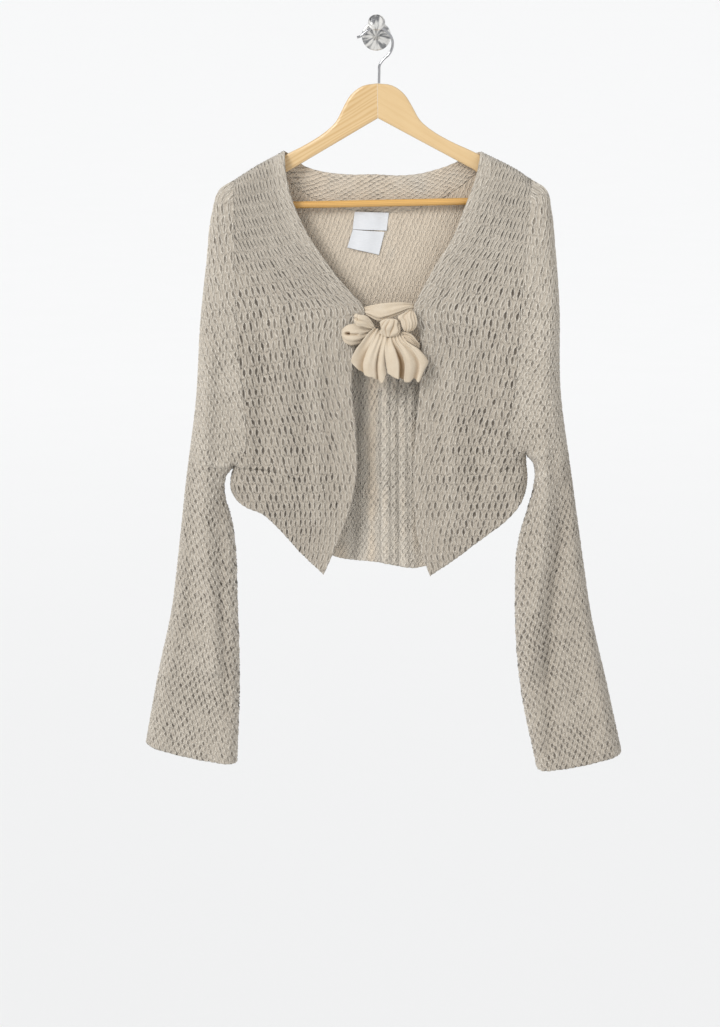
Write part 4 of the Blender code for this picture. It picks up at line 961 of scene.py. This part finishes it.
class Nodes:
    """Short calls that add shader nodes to one material and link them."""

    def __init__(self, name):
        self.material = bpy.data.materials.new(name)
        self.material.use_nodes = True
        self.tree = self.material.node_tree
        self.shader = self.tree.nodes["Principled BSDF"]

    def add(self, kind, inputs=None, **settings):
        node = self.tree.nodes.new(kind)
        for key, value in settings.items():
            setattr(node, key, value)
        for key, value in (inputs or {}).items():
            self.set(node.inputs[key], value)
        return node

    def set(self, socket, value):
        if isinstance(value, bpy.types.NodeSocket):
            self.tree.links.new(value, socket)
        elif hasattr(value, "__len__") and len(value) == 3 and socket.type == "RGBA":
            socket.default_value = (*value, 1.0)
        else:
            socket.default_value = value

    def math(self, operation, first, second=0.0, third=0.0):
        inputs = {0: first, 1: second, 2: third}
        return self.add("ShaderNodeMath", inputs, operation=operation).outputs[0]

    def ramp(self, value, low, high, to_low=0.0, to_high=1.0):
        inputs = {"Value": value, "From Min": low, "From Max": high, "To Min": to_low, "To Max": to_high}
        return self.add("ShaderNodeMapRange", inputs, interpolation_type="SMOOTHSTEP").outputs[0]

    def mix(self, share, first, second):
        node = self.add("ShaderNodeMix", data_type="RGBA")
        self.set(node.inputs[0], share)
        self.set(node.inputs[6], first)
        self.set(node.inputs[7], second)
        return node.outputs[2]

    def noise(self, vector, scale, detail=2.0, roughness=0.5):
        inputs = {"Vector": vector, "Scale": scale, "Detail": detail, "Roughness": roughness}
        return self.add("ShaderNodeTexNoise", inputs).outputs["Fac"]

    def mapping(self, vector, scale=(1.0, 1.0, 1.0), rotation=(0.0, 0.0, 0.0)):
        inputs = {"Vector": vector, "Scale": scale, "Rotation": rotation}
        return self.add("ShaderNodeMapping", inputs).outputs[0]

    def multiply(self, first, second):
        return self.math("MULTIPLY", first, second)

    def scaled_sum(self, first, second, third):
        """First times second, plus third."""
        return self.math("MULTIPLY_ADD", first, second, third)

    def less(self, first, second):
        return self.math("SUBTRACT", first, second)

    def size(self, value):
        return self.math("ABSOLUTE", value)

    def split(self, vector):
        return self.add("ShaderNodeSeparateXYZ", {0: vector}).outputs

    def attribute(self, name):
        return self.add("ShaderNodeAttribute", attribute_name=name).outputs["Vector"]

    def object_place(self):
        return self.add("ShaderNodeTexCoord").outputs["Object"]

    def bump(self, height, distance, strength=1.0):
        inputs = {"Height": height, "Distance": distance, "Strength": strength}
        self.set(self.shader.inputs["Normal"], self.add("ShaderNodeBump", inputs).outputs[0])

    def finish(self, **values):
        for key, value in values.items():
            self.set(self.shader.inputs[key.replace("_", " ")], value)
        return self.material


def knit_material(name, light, middle, dark, inner):
    """Brushed yarn with painted light: the slit of each stitch and the small knots above and below it are
    painted dark as shade, pale strands along its rim are painted highlights, and the yarn between is painted
    in its shaded colour, with fine hairs and streaks. The inner face is warmer."""
    nodes = Nodes(name)
    place = nodes.add("ShaderNodeUVMap", uv_map="stitches").outputs[0]
    p, q, _ = nodes.split(place)
    slack, lean, shade = nodes.split(nodes.attribute("stitch"))
    shifted = nodes.scaled_sum(nodes.math("MODULO", nodes.math("FLOOR", q), 2.0), 0.5, p)
    across = nodes.less(nodes.math("FRACT", shifted), 0.5)
    down = nodes.less(nodes.math("FRACT", q), 0.5)
    hairs = nodes.noise(nodes.object_place(), 620.0, 3.0, 0.6)
    tufts = nodes.noise(nodes.object_place(), 210.0, 2.0, 0.6)
    streaks = nodes.noise(nodes.mapping(place, (6.0, 2.2, 1.0)), 1.0, 2.0, 0.6)
    leaning = nodes.scaled_sum(nodes.less(tufts, 0.5), 0.30, nodes.scaled_sum(lean, down, across))
    height_share = nodes.math("DIVIDE", down, SLIT_HALF_HEIGHT)
    parabola = nodes.less(1.0, nodes.multiply(height_share, height_share))
    reach = nodes.multiply(nodes.scaled_sum(slack, SLIT_GAPE[1], SLIT_GAPE[0]), SLIT_REACH)
    rim = nodes.less(nodes.size(leaning), nodes.multiply(reach, parabola))
    rim = nodes.scaled_sum(nodes.less(hairs, 0.5), 0.16, rim)
    ends = nodes.ramp(nodes.size(down), SLIT_END, SLIT_END - SLIT_END_FADE)
    # Painted shade: the hollow of each open slit
    hollow = nodes.multiply(nodes.multiply(nodes.ramp(rim, SLIT_RIM, SLIT_DARK), ends), slack)
    strand = nodes.ramp(nodes.size(nodes.less(rim, STRAND_PLACE)), STRAND_WIDTH * 0.85, 0.0)
    aside = nodes.math("PINGPONG", nodes.math("ADD", leaning, 0.5), 0.25)
    knot_across = nodes.math("DIVIDE", aside, SMALL_KNOT)
    knot_down = nodes.math("DIVIDE", nodes.less(nodes.size(down), SLIT_END), SMALL_KNOT)
    knot_square = nodes.scaled_sum(knot_across, knot_across, nodes.multiply(knot_down, knot_down))
    knot_strength = nodes.multiply(slack, nodes.ramp(tufts, 0.35, 0.6, 0.35, 1.1))
    # Painted shade: the slits and the small knots, both darkened as shade
    depth = nodes.math("MAXIMUM", hollow, nodes.multiply(nodes.ramp(knot_square, 1.2, 0.2), knot_strength))
    # Painted highlight on the strands along each rim, over the yarn's painted shaded colour; streaks and
    # hairs are the yarn's own tone
    pale = nodes.scaled_sum(nodes.ramp(streaks, 0.36, 0.66), 0.30, nodes.multiply(strand, 0.85))
    pale = nodes.less(pale, nodes.multiply(shade, 0.42))
    pale = nodes.scaled_sum(nodes.ramp(hairs, 0.35, 0.75), 0.18, pale)
    yarn = nodes.mix(nodes.add("ShaderNodeClamp", {0: pale}).outputs[0], middle, light)
    yarn = nodes.mix(nodes.ramp(shade, -0.3, -0.75, 0.0, 0.55), yarn, inner)
    # Painted shade: slits and knots are painted towards the hollow colour
    colour = nodes.mix(nodes.multiply(depth, 0.88), yarn, dark)
    height = nodes.scaled_sum(hairs, 0.35, nodes.multiply(strand, 0.5))
    height = nodes.less(nodes.scaled_sum(streaks, 0.3, height), depth)
    nodes.bump(height, 0.0014, 0.9)
    return nodes.finish(Base_Color=colour, Roughness=0.95, Sheen_Weight=0.25, Sheen_Roughness=0.6)


def ribbon_material(name, colour, shade, hollow):
    """Matt crepe: a fine crinkle, slightly darker between the ridges, and browner down in the folds; both
    darkenings are painted shade.
    """
    nodes = Nodes(name)
    place = nodes.object_place()
    crinkle = nodes.noise(nodes.mapping(place, (1.0, 1.0, 0.45)), 1500.0, 3.0, 0.6)
    cloud = nodes.noise(place, 120.0, 2.0, 0.5)
    share = nodes.ramp(nodes.scaled_sum(cloud, 0.5, crinkle), 0.45, 1.05, 0.0, 0.7)
    painted_fold_shade = nodes.split(nodes.attribute("fold"))[0]
    mixed = nodes.mix(painted_fold_shade, nodes.mix(share, shade, colour), hollow)
    nodes.bump(crinkle, 0.0003, 0.5)
    return nodes.finish(Base_Color=mixed, Roughness=0.7, Sheen_Weight=0.2, Sheen_Roughness=0.5)


def label_material(name, colour):
    """Satin label: fine warp and weft lines."""
    nodes = Nodes(name)
    place = nodes.object_place()
    weft = nodes.noise(nodes.mapping(place, (120.0, 1.0, 2600.0)), 1.0, 1.0)
    cloud = nodes.noise(place, 60.0)
    share = nodes.ramp(nodes.scaled_sum(cloud, 0.4, weft), 0.3, 1.1)
    mixed = nodes.mix(share, [value * 0.86 for value in colour], colour)
    nodes.bump(weft, 0.0001, 0.4)
    return nodes.finish(Base_Color=mixed, Roughness=0.45, Sheen_Weight=0.1)


def wood_material(name, light, dark, turn, contrast, ring_scale):
    """Lacquered wood: growth rings stretched along the grain, fine pores, and a satin coat."""
    nodes = Nodes(name)
    place = nodes.mapping(nodes.object_place(), rotation=(0.0, np.radians(turn), 0.0))
    long_place = nodes.mapping(place, (0.9, 6.0, 9.0))
    bend = nodes.noise(long_place, 3.0, 3.0, 0.6)
    across = nodes.scaled_sum(nodes.split(place)[2], ring_scale, nodes.multiply(bend, 5.0))
    rings = nodes.scaled_sum(nodes.math("SINE", nodes.multiply(across, 2 * np.pi)), 0.5, 0.5)
    pores = nodes.noise(nodes.mapping(place, (60.0, 500.0, 900.0)), 1.0, 2.0)
    share = nodes.multiply(nodes.math("POWER", rings, 2.2), contrast)
    share = nodes.scaled_sum(nodes.ramp(pores, 0.45, 0.75), 0.12, share)
    cloud = nodes.ramp(nodes.noise(place, 9.0, 2.0), 0.35, 0.75, 0.0, 0.22)
    colour = nodes.mix(nodes.math("ADD", share, cloud), light, dark)
    nodes.bump(pores, 0.00012, 0.25)
    return nodes.finish(Base_Color=colour, Roughness=0.38, Coat_Weight=0.3, Coat_Roughness=0.25)


def wire_material(name, colour):
    """Polished wire with faint drawing marks."""
    nodes = Nodes(name)
    marks = nodes.noise(nodes.mapping(nodes.object_place(), (900.0, 900.0, 160.0)), 1.0, 2.0)
    nodes.bump(marks, 0.00004, 0.3)
    rough = nodes.ramp(marks, 0.3, 0.8, 0.08, 0.22)
    return nodes.finish(Base_Color=colour, Roughness=rough, Metallic=1.0)


def steel_material(name, dark, bright, glint):
    """Satin steel, brushed outwards from the plate's middle: dark and bright rays by noise over the angle,
    painted into its colour as reflections, with fine painted glints.
    """
    nodes = Nodes(name)
    x, _, z = nodes.split(nodes.object_place())
    angle = nodes.math("ARCTAN2", z, x)
    radius = nodes.math("SQRT", nodes.scaled_sum(x, x, nodes.multiply(z, z)))
    ray = nodes.add("ShaderNodeCombineXYZ", {0: angle, 1: nodes.multiply(radius, 20.0)}).outputs[0]
    fine = nodes.noise(ray, 26.0, 3.0, 0.7)
    broad = nodes.noise(ray, 2.6, 1.0)
    # Painted reflection: dark and bright rays, then fine glints, in the metal's colour
    painted_reflection = nodes.mix(nodes.ramp(broad, 0.40, 0.58), dark, bright)
    painted_reflection = nodes.mix(nodes.ramp(fine, 0.3, 0.7, 0.0, 0.3), painted_reflection, glint)
    nodes.bump(fine, 0.00006, 0.4)
    return nodes.finish(Base_Color=painted_reflection, Roughness=nodes.ramp(fine, 0.3, 0.7, 0.22, 0.42), Metallic=1.0)


# Ribbon bow


def to_space(x, drop, out):
    """Centimetres x, drop and out to metres x, y, z."""
    return np.stack([x * CM, MID_Y - out * CM, TOP_LINE - drop * CM], axis=-1)


def clear_of_knot(grid):
    """Moves points that lie in the knot straight out from its middle to a seam's gap from its surface."""
    middle = to_space(*(np.array(value) for value in KNOT_MIDDLE))
    half_sizes = np.array(KNOT_HALF_SIZES)[[0, 2, 1]] * CM
    offsets = grid - middle
    reach = np.linalg.norm(offsets / half_sizes, axis=-1, keepdims=True)
    wanted = 1 + SEAM_GAP / half_sizes.min()
    return middle + offsets * np.maximum(1.0, wanted / np.maximum(reach, 0.05))


def ribbon_piece(name, material, settings):
    """A strip between two edge curves. Each row bends down and out by a parabola, and gathers, wide folds
    and single creases are added along the normals: cosines across, and bells for the creases."""
    table = along(dense_curve(RIBBONS[name]), np.linspace(0, 1, RIBBON_ROWS))[:, None, :]
    across = np.linspace(0, 1, RIBBON_COLUMNS)[None, :]
    down = np.linspace(0, 1, RIBBON_ROWS)[:, None]
    bow = 4 * across * (1 - across)
    x = (1 - across) * table[..., 0] + across * table[..., 2]
    drop = (1 - across) * table[..., 1] + across * table[..., 3] + bow * table[..., 5]
    if name in END_DROPS:
        ends = np.array(END_DROPS[name])
        drop = drop + np.interp(across, ends[:, 0], ends[:, 1]) * smooth_step((down - 0.6) / 0.4)
    grid = to_space(x, drop, table[..., 4] + bow**0.7 * table[..., 6])
    if grid_normals(grid)[RIBBON_ROWS // 2, RIBBON_COLUMNS // 2, 1] > 0:
        grid, across = grid[:, ::-1], across[:, ::-1]
    fine, fine_near, fine_far, wide, wide_near, wide_far = GATHERS[name]
    phase = 1.3 * np.sin(2.1 * down + fine) + 1.1 * np.sin(5.0 * across + wide)
    fine_height = fine_near + (fine_far - fine_near) * down
    wide_height = wide_near + (wide_far - wide_near) * down
    height = fine_height * np.cos(2 * np.pi * fine * across + phase)
    height = height + wide_height * np.cos(2 * np.pi * wide * across - 0.7 * phase)
    if name in END_FOLDS:
        folds = dense_curve(END_FOLDS[name])
        height = height + np.interp(across, folds[:, 0], folds[:, 1]) * smooth_step(down / 0.75)
    for place, start, end, half_width, depth in RIBBON_CREASES.get(name, []):
        bell = np.exp(-(((across - place) / half_width) ** 2))
        height = height - depth * bell * smooth_step((down - start) / 0.08) * smooth_step((end - down) / 0.08)
    grid = clear_of_knot(grid + (height * CM * settings.pleat_height)[..., None] * grid_normals(grid))
    steps = [np.linalg.norm(np.diff(grid, axis=axis), axis=-1) for axis in (1, 0)]
    width, length = (float(step.sum(axis=axis).mean()) for step, axis in zip(steps, (1, 0)))
    inner = grid - RIBBON_WALL * grid_normals(grid)
    vertices = np.concatenate([grid.reshape(-1, 3), inner.reshape(-1, 3)])
    # Painted shade: the deeper a point lies in a fold, the more it is painted in the hollow colour
    depth = np.clip((FOLD_SHADE_START - height) / FOLD_SHADE_RANGE, 0.0, 1.0) + 0 * grid[..., 0]
    fold = np.tile(depth.reshape(-1, 1) * np.array([1.0, 0.0, 0.0]), (2, 1))
    faces = shell_faces(grid.shape[:2], inner.shape[:2])
    piece = new_piece(name + "_cloth", vertices, faces, material, attributes={"fold": fold})
    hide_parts(name)
    return piece, (round(width, 4), round(length, 4))


def knot_piece(material):
    """The knot: a flattened ball with puffy gathers that turn as they go down. Each gather is a power of
    the size of a cosine round the ball, and the creases between them are deepest at mid height."""
    polar = np.linspace(0.02, np.pi - 0.02, KNOT_RINGS)[:, None]
    angle = np.linspace(0, 2 * np.pi, KNOT_SIDES, endpoint=False)[None, :]
    turned = 0.5 * KNOT_GATHERS * angle + 1.9 * np.cos(polar + 0.4) + 0.7 * np.sin(2 * angle + 1.0)
    valley = (1 - np.abs(np.cos(turned)) ** 0.9) * np.sin(polar) ** 0.4
    gather = 1 - KNOT_GATHER_DEPTH * valley
    gather = gather * (1 + 0.12 * np.sin(3 * polar + 2 * angle) + 0.07 * np.sin(5 * polar - 3 * angle))
    x = KNOT_HALF_SIZES[0] * np.sin(polar) ** 0.8 * np.cos(angle) * gather
    drop = -KNOT_HALF_SIZES[1] * np.cos(polar) * np.ones_like(angle)
    out = KNOT_HALF_SIZES[2] * np.sin(polar) ** 0.8 * np.sin(angle) * gather
    points = to_space(KNOT_MIDDLE[0] + x, KNOT_MIDDLE[1] + drop, KNOT_MIDDLE[2] + out)
    index = np.arange(points.shape[0] * points.shape[1]).reshape(points.shape[:2])
    closed = np.concatenate([index, index[:, :1]], axis=1)
    faces = grid_quads(closed)[:, ::-1].tolist() + [index[0].tolist(), index[-1][::-1].tolist()]
    # Painted shade down in the creases between the gathers
    painted_fold_shade = np.clip(1.6 * (valley - 0.45), 0.0, 1.0).reshape(-1, 1) * np.array([1.0, 0.0, 0.0])
    piece = new_piece("ribbon_knot_cloth", points.reshape(-1, 3), faces, material, attributes={"fold": painted_fold_shade})
    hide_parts("ribbon_knot")
    return piece


def label_piece(name, material):
    """A label: a nearly flat strip with a slight wave across it."""
    upper, lower, turn, shear, hang = LABELS[name]
    half_x, half_z = (lower[0] - upper[0]) / 2 * CM, (lower[1] - upper[1]) / 2 * CM
    middle_x, middle_z = (upper[0] + lower[0]) / 2 * CM, TOP_LINE - (upper[1] + lower[1]) / 2 * CM
    s, t = np.linspace(-1, 1, LABEL_COLUMNS)[None, :], np.linspace(1, -1, LABEL_ROWS)[:, None]
    cosine, sine = np.cos(np.radians(turn)), np.sin(np.radians(turn))
    x = middle_x + half_x * s * cosine - half_z * t * sine - shear * CM * (1 - t) / 2
    z = middle_z + half_x * s * sine + half_z * t * cosine - hang * CM * (1 - t) * (1 + s) / 4
    wave = LABEL_WAVES[0] * np.cos(1.2 * np.pi * s) + LABEL_WAVES[1] * np.sin(4.0 * s + 2.5 * t)
    front = np.stack([x, MID_Y - LABEL_OUT - wave, z], axis=-1)
    back = front + np.array([0.0, LABEL_WALL, 0.0])
    vertices = np.concatenate([front.reshape(-1, 3), back.reshape(-1, 3)])
    piece = new_piece(name + "_cloth", vertices, shell_faces(front.shape[:2], back.shape[:2]), material)
    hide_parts(name)


def hanger_point(distance, drop):
    """A hanger point turned about the crook: signed distance from the middle and drop, in centimetres."""
    angle = np.radians(HANGER_TILT)
    x, below = distance * CM, (drop - HANGER_PIVOT_DROP) * CM
    tilted_below = below * np.cos(angle) - x * np.sin(angle)
    return x * np.cos(angle) + below * np.sin(angle), TOP_LINE - HANGER_PIVOT_DROP * CM - tilted_below


# Settings


def colour_property(name, text, value):
    """A colour setting in the linear space that shaders read."""
    return FloatVectorProperty(
        name=name, description=text, default=value, subtype="COLOR", size=3, min=0, max=1
    )


def length_property(name, text, value):
    """A length setting in metres."""
    return FloatProperty(name=name, description=text, default=value, unit="LENGTH", precision=4)


class CardiganKnitSettings(PropertyGroup):
    """Gauge, relief and colours of the knit."""

    stitch_width: length_property("Stitch width", "Distance between stitch columns", 0.0079)
    stitch_height: length_property("Stitch height", "Distance between stitch rows", 0.0148)
    relief: length_property("Relief", "Depth of an open stitch", 0.0020)
    # Painted light: the light and shaded yarn are lit and shaded copies of one yarn, the light one painted on
    # the strands as highlights
    light: colour_property("Light yarn", "Colour of the strands", (0.74, 0.68, 0.585))
    middle: colour_property("Shaded yarn", "Colour between the strands", (0.40, 0.35, 0.285))
    # Painted shade: the hollow colour is painted into open stitches and small knots, standing for the shade
    # inside them
    dark: colour_property("Hollow", "Colour inside an open stitch", (0.125, 0.10, 0.075))
    inner: colour_property("Inner face", "Colour that the inner face tends to", (0.64, 0.52, 0.385))


class CardiganRibbonSettings(PropertyGroup):
    """Pleats and colours of the ribbon and the labels."""

    pleat_height: FloatProperty(name="Pleat height", description="Scale of the pleats", default=1.0, min=0.0)
    colour: colour_property("Ribbon", "Colour of the ribbon", (0.63, 0.55, 0.44))
    # Painted shade: the shade colour lies between the crinkle's ridges, the hollow colour down in the folds
    shade: colour_property("Ribbon shade", "Colour between its threads", (0.56, 0.46, 0.335))
    hollow: colour_property("Ribbon hollow", "Colour down in its folds", (0.30, 0.195, 0.10))
    label: colour_property("Label", "Colour of the labels", (0.72, 0.73, 0.75))


class CardiganHangerSettings(PropertyGroup):
    """Colours of the hanger and the wall hook."""

    wood_light: colour_property("Wood", "Colour between the growth rings", (0.69, 0.495, 0.26))
    wood_dark: colour_property("Growth rings", "Colour of the growth rings", (0.54, 0.33, 0.125))
    bar_light: colour_property("Bar", "Light colour of the bar", (0.66, 0.38, 0.11))
    bar_dark: colour_property("Bar grain", "Dark colour of the bar", (0.45, 0.23, 0.06))
    wire: colour_property("Wire", "Colour of the wire hook", (0.42, 0.42, 0.43))
    # Painted reflection: the wall hook's dark and bright rays and its fine glints are painted into its colour
    steel_painted_dark_reflection: colour_property("Dark rays", "Dark colour of the wall hook", (0.13, 0.1325, 0.1375))
    steel_painted_highlight: colour_property("Bright rays", "Light colour of the wall hook", (0.80, 0.78, 0.74))
    steel_painted_glint: colour_property("Fine rays", "Colour of its finest scratches", (0.95, 0.95, 0.95))


class CardiganStageSettings(PropertyGroup):
    """Floor, light and camera."""

    floor: colour_property("Floor", "Colour of the floor", (0.94, 0.935, 0.93))
    sky: colour_property("Surroundings", "Colour of the light from all round", (0.97, 0.985, 1.0))
    sky_strength: FloatProperty(name="Surrounding light", description="Strength of it", default=0.66, min=0.0)
    sun_strength: FloatProperty(name="Key light", description="Strength of the key", default=1.95, min=0.0)
    lens: FloatProperty(name="Lens", description="Focal length in millimetres", default=109.65, min=1.0)
    tilt: FloatProperty(name="Camera tilt", description="Degrees below the horizon", default=10.0)


SETTINGS = {
    "cardigan_knit": CardiganKnitSettings,
    "cardigan_ribbon": CardiganRibbonSettings,
    "cardigan_hanger": CardiganHangerSettings,
    "cardigan_stage": CardiganStageSettings,
}


# Operators


def knit_pieces(context, names):
    """Builds the named cloth pieces in the knit material."""
    knit = context.scene.cardigan_knit
    material = bpy.data.materials.get("brushed_knit") or knit_material(
        "brushed_knit", knit.light, knit.middle, knit.dark, knit.inner
    )
    for name in names:
        cloth_piece(name, knit, material)


class CARDIGAN_OT_back(Operator):
    """Knit the back"""

    bl_idname = "cardigan.back"
    bl_label = "Back"

    def execute(self, context):
        knit_pieces(context, ["back"])
        return {"FINISHED"}


class CARDIGAN_OT_fronts(Operator):
    """Knit both fronts"""

    bl_idname = "cardigan.fronts"
    bl_label = "Fronts"

    def execute(self, context):
        knit_pieces(context, ["front_right", "front_left"])
        return {"FINISHED"}


class CARDIGAN_OT_sleeves(Operator):
    """Knit both sleeves"""

    bl_idname = "cardigan.sleeves"
    bl_label = "Sleeves"

    def execute(self, context):
        knit_pieces(context, ["sleeve_right", "sleeve_left"])
        return {"FINISHED"}


class CARDIGAN_OT_bands(Operator):
    """Knit the neck band and both front bands"""

    bl_idname = "cardigan.bands"
    bl_label = "Bands"

    def execute(self, context):
        knit = context.scene.cardigan_knit
        paler = [min(1.0, value * BAND_PALENESS) for value in knit.light]
        material = knit_material("brushed_band_knit", paler, knit.middle, knit.dark, knit.inner)
        for name in ("neck_band", "front_band_right", "front_band_left"):
            cloth_piece(name, knit, material)
        return {"FINISHED"}


class CARDIGAN_OT_bow(Operator):
    """Tie the ribbon bow"""

    bl_idname = "cardigan.bow"
    bl_label = "Ribbon bow"

    def execute(self, context):
        settings = context.scene.cardigan_ribbon
        material = ribbon_material("crepe_ribbon", settings.colour, settings.shade, settings.hollow)
        knot = knot_piece(material)
        for name in RIBBONS:
            piece, flat = ribbon_piece(name, material, settings)
        return {"FINISHED"}


class CARDIGAN_OT_labels(Operator):
    """Sew in the blank labels"""

    bl_idname = "cardigan.labels"
    bl_label = "Labels"

    def execute(self, context):
        material = label_material("satin_label", context.scene.cardigan_ribbon.label)
        for name in LABELS:
            label_piece(name, material)
        return {"FINISHED"}


class CARDIGAN_OT_hanger(Operator):
    """Finish the wooden arms, the bar and the wire hook"""

    bl_idname = "cardigan.hanger"
    bl_label = "Hanger"

    def execute(self, context):
        settings = context.scene.cardigan_hanger
        ringed = wood_material("ringed_wood", settings.wood_light, settings.wood_dark, 31.0, 0.55, 210.0)
        plain = wood_material("plain_wood", settings.wood_light, settings.wood_dark, -31.0, 0.12, 120.0)
        for node, material in (("hanger_arm_right", ringed), ("hanger_arm_left", plain)):
            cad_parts[node].material_slots[0].material = material
        ends = [hanger_point(sign * BAR_HALF_LENGTH / CM, BAR_DROP) for sign in (-1, 1)]
        first, last = (np.array([x, MID_Y, z]) for x, z in ends)
        route = first + np.linspace(0, 1, BAR_RINGS)[:, None] * (last - first)
        wood = wood_material("bar_wood", settings.bar_light, settings.bar_dark, -1.2, 0.4, 340.0)
        bar = tube_piece("hanger_bar_rod", route, BAR_RADIUS, BAR_SIDES, wood)
        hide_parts("hanger_bar")
        curve = along(dense_curve(WIRE_ROUTE), np.linspace(0, 1, WIRE_RINGS))
        points = [(x * CM, MID_Y, TOP_LINE - drop * CM) for x, drop in curve]
        polished = wire_material("hook_wire", settings.wire)
        wire = tube_piece("hanger_wire", points, WIRE_RADIUS, WIRE_SIDES, polished)
        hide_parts("hanger_hook")
        return {"FINISHED"}


class CARDIGAN_OT_wall_hook(Operator):
    """Turn the wall hook's plate and peg"""

    bl_idname = "cardigan.wall_hook"
    bl_label = "Wall hook"

    def execute(self, context):
        settings = context.scene.cardigan_hanger
        steel = steel_material(
            "brushed_steel", settings.steel_painted_dark_reflection, settings.steel_painted_highlight, settings.steel_painted_glint
        )
        plate_route = [(0.0, -out * CM, 0.0) for out, _, _ in PLATE_STATIONS]
        plate_radii = [radius * CM for _, _, radius in PLATE_STATIONS]
        plate = tube_piece("wall_plate", plate_route, plate_radii, PLATE_SIDES, steel, 30.0)
        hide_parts("wall_hook_plate")
        curve = dense_curve(PEG_STATIONS, 6)
        peg_route = np.stack([0 * curve[:, 0], -curve[:, 0] * CM, TOP_LINE - curve[:, 1] * CM], axis=1)
        peg = tube_piece("wall_peg", peg_route, curve[:, 2] * CM, PEG_SIDES, steel, 30.0)
        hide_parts("wall_hook_peg")
        return {"FINISHED"}


class CARDIGAN_OT_stage(Operator):
    """Lay the floor and set the light and the camera"""

    bl_idname = "cardigan.stage"
    bl_label = "Stage"

    def execute(self, context):
        settings = context.scene.cardigan_stage
        nodes = Nodes("pale_floor")
        grain = nodes.noise(nodes.object_place(), 3.0, 2.0)
        grey, darker = ([value * share for value in settings.floor] for share in (0.985, 0.91))
        shade = nodes.mix(nodes.ramp(grain, 0.3, 0.7, 0.0, 0.3), settings.floor, grey)
        # Painted shade: the floor is painted darker up to a metre behind the wall, fading out twelve metres
        # back, in place of the light's fall-off
        away = nodes.split(nodes.object_place())[1]
        shade = nodes.mix(nodes.ramp(away, 1.0, 12.0, 0.9, 0.0), shade, darker)
        material = nodes.finish(Base_Color=shade, Roughness=0.9)
        angle = np.linspace(0, 2 * np.pi, FLOOR_SIDES, endpoint=False)
        x, y = np.cos(angle) * FLOOR_RADIUS, np.sin(angle) * FLOOR_RADIUS
        mesh = bpy.data.meshes.new("floor")
        mesh.from_pydata(np.stack([x, y, 0 * angle + FLOOR_HEIGHT], axis=1), [], [list(range(FLOOR_SIDES))])
        mesh.materials.append(material)
        floor = bpy.data.objects.new("floor", mesh)
        context.scene.collection.objects.link(floor)
        world = bpy.data.worlds.new("pale_room")
        world.use_nodes = True
        background = world.node_tree.nodes["Background"]
        background.inputs["Color"].default_value = (*settings.sky, 1.0)
        background.inputs["Strength"].default_value = settings.sky_strength
        context.scene.world = world
        for name, turn, share, spread in LIGHTS:
            light = bpy.data.lights.new(name, "SUN")
            light.energy = settings.sun_strength * share
            light.angle = np.radians(spread)
            lamp = bpy.data.objects.new(name, light)
            lamp.rotation_euler = np.radians(turn)
            context.scene.collection.objects.link(lamp)
        data = bpy.data.cameras.new("camera")
        data.lens = settings.lens
        data.sensor_width = 36.0
        data.clip_end = 1000.0
        camera = bpy.data.objects.new("camera", data)
        camera.location = CAMERA_PLACE
        camera.rotation_euler = (np.radians(90.0 - settings.tilt), 0.0, 0.0)
        context.scene.collection.objects.link(camera)
        context.scene.camera = camera
        context.scene.view_settings.view_transform = "Standard"
        return {"FINISHED"}


OPERATORS = (
    CARDIGAN_OT_back, CARDIGAN_OT_fronts, CARDIGAN_OT_sleeves, CARDIGAN_OT_bands, CARDIGAN_OT_bow,
    CARDIGAN_OT_labels, CARDIGAN_OT_hanger, CARDIGAN_OT_wall_hook, CARDIGAN_OT_stage,
)


class CARDIGAN_PT_sidebar(Panel):
    """Lists the cardigan's pieces and settings"""

    bl_idname = "CARDIGAN_PT_sidebar"
    bl_label = "Cardigan"
    bl_space_type = "VIEW_3D"
    bl_region_type = "UI"
    bl_category = "Cardigan"

    def draw(self, context):
        layout = self.layout
        for operator in OPERATORS:
            layout.operator(operator.bl_idname)
        for name, group in SETTINGS.items():
            box = layout.box()
            for key in group.__annotations__:
                box.prop(getattr(context.scene, name), key)


def register():
    for thing in (*SETTINGS.values(), *OPERATORS, CARDIGAN_PT_sidebar):
        bpy.utils.register_class(thing)
    for name, group in SETTINGS.items():
        setattr(bpy.types.Scene, name, PointerProperty(type=group))


def unregister():
    for name in SETTINGS:
        delattr(bpy.types.Scene, name)
    for thing in (CARDIGAN_PT_sidebar, *reversed(OPERATORS), *SETTINGS.values()):
        bpy.utils.unregister_class(thing)


def main():
    """Registers the add-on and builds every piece."""
    register()
    for operator in OPERATORS:
        group, call = operator.bl_idname.split(".")
        getattr(getattr(bpy.ops, group), call)()


if __name__ == "__main__":
    main()
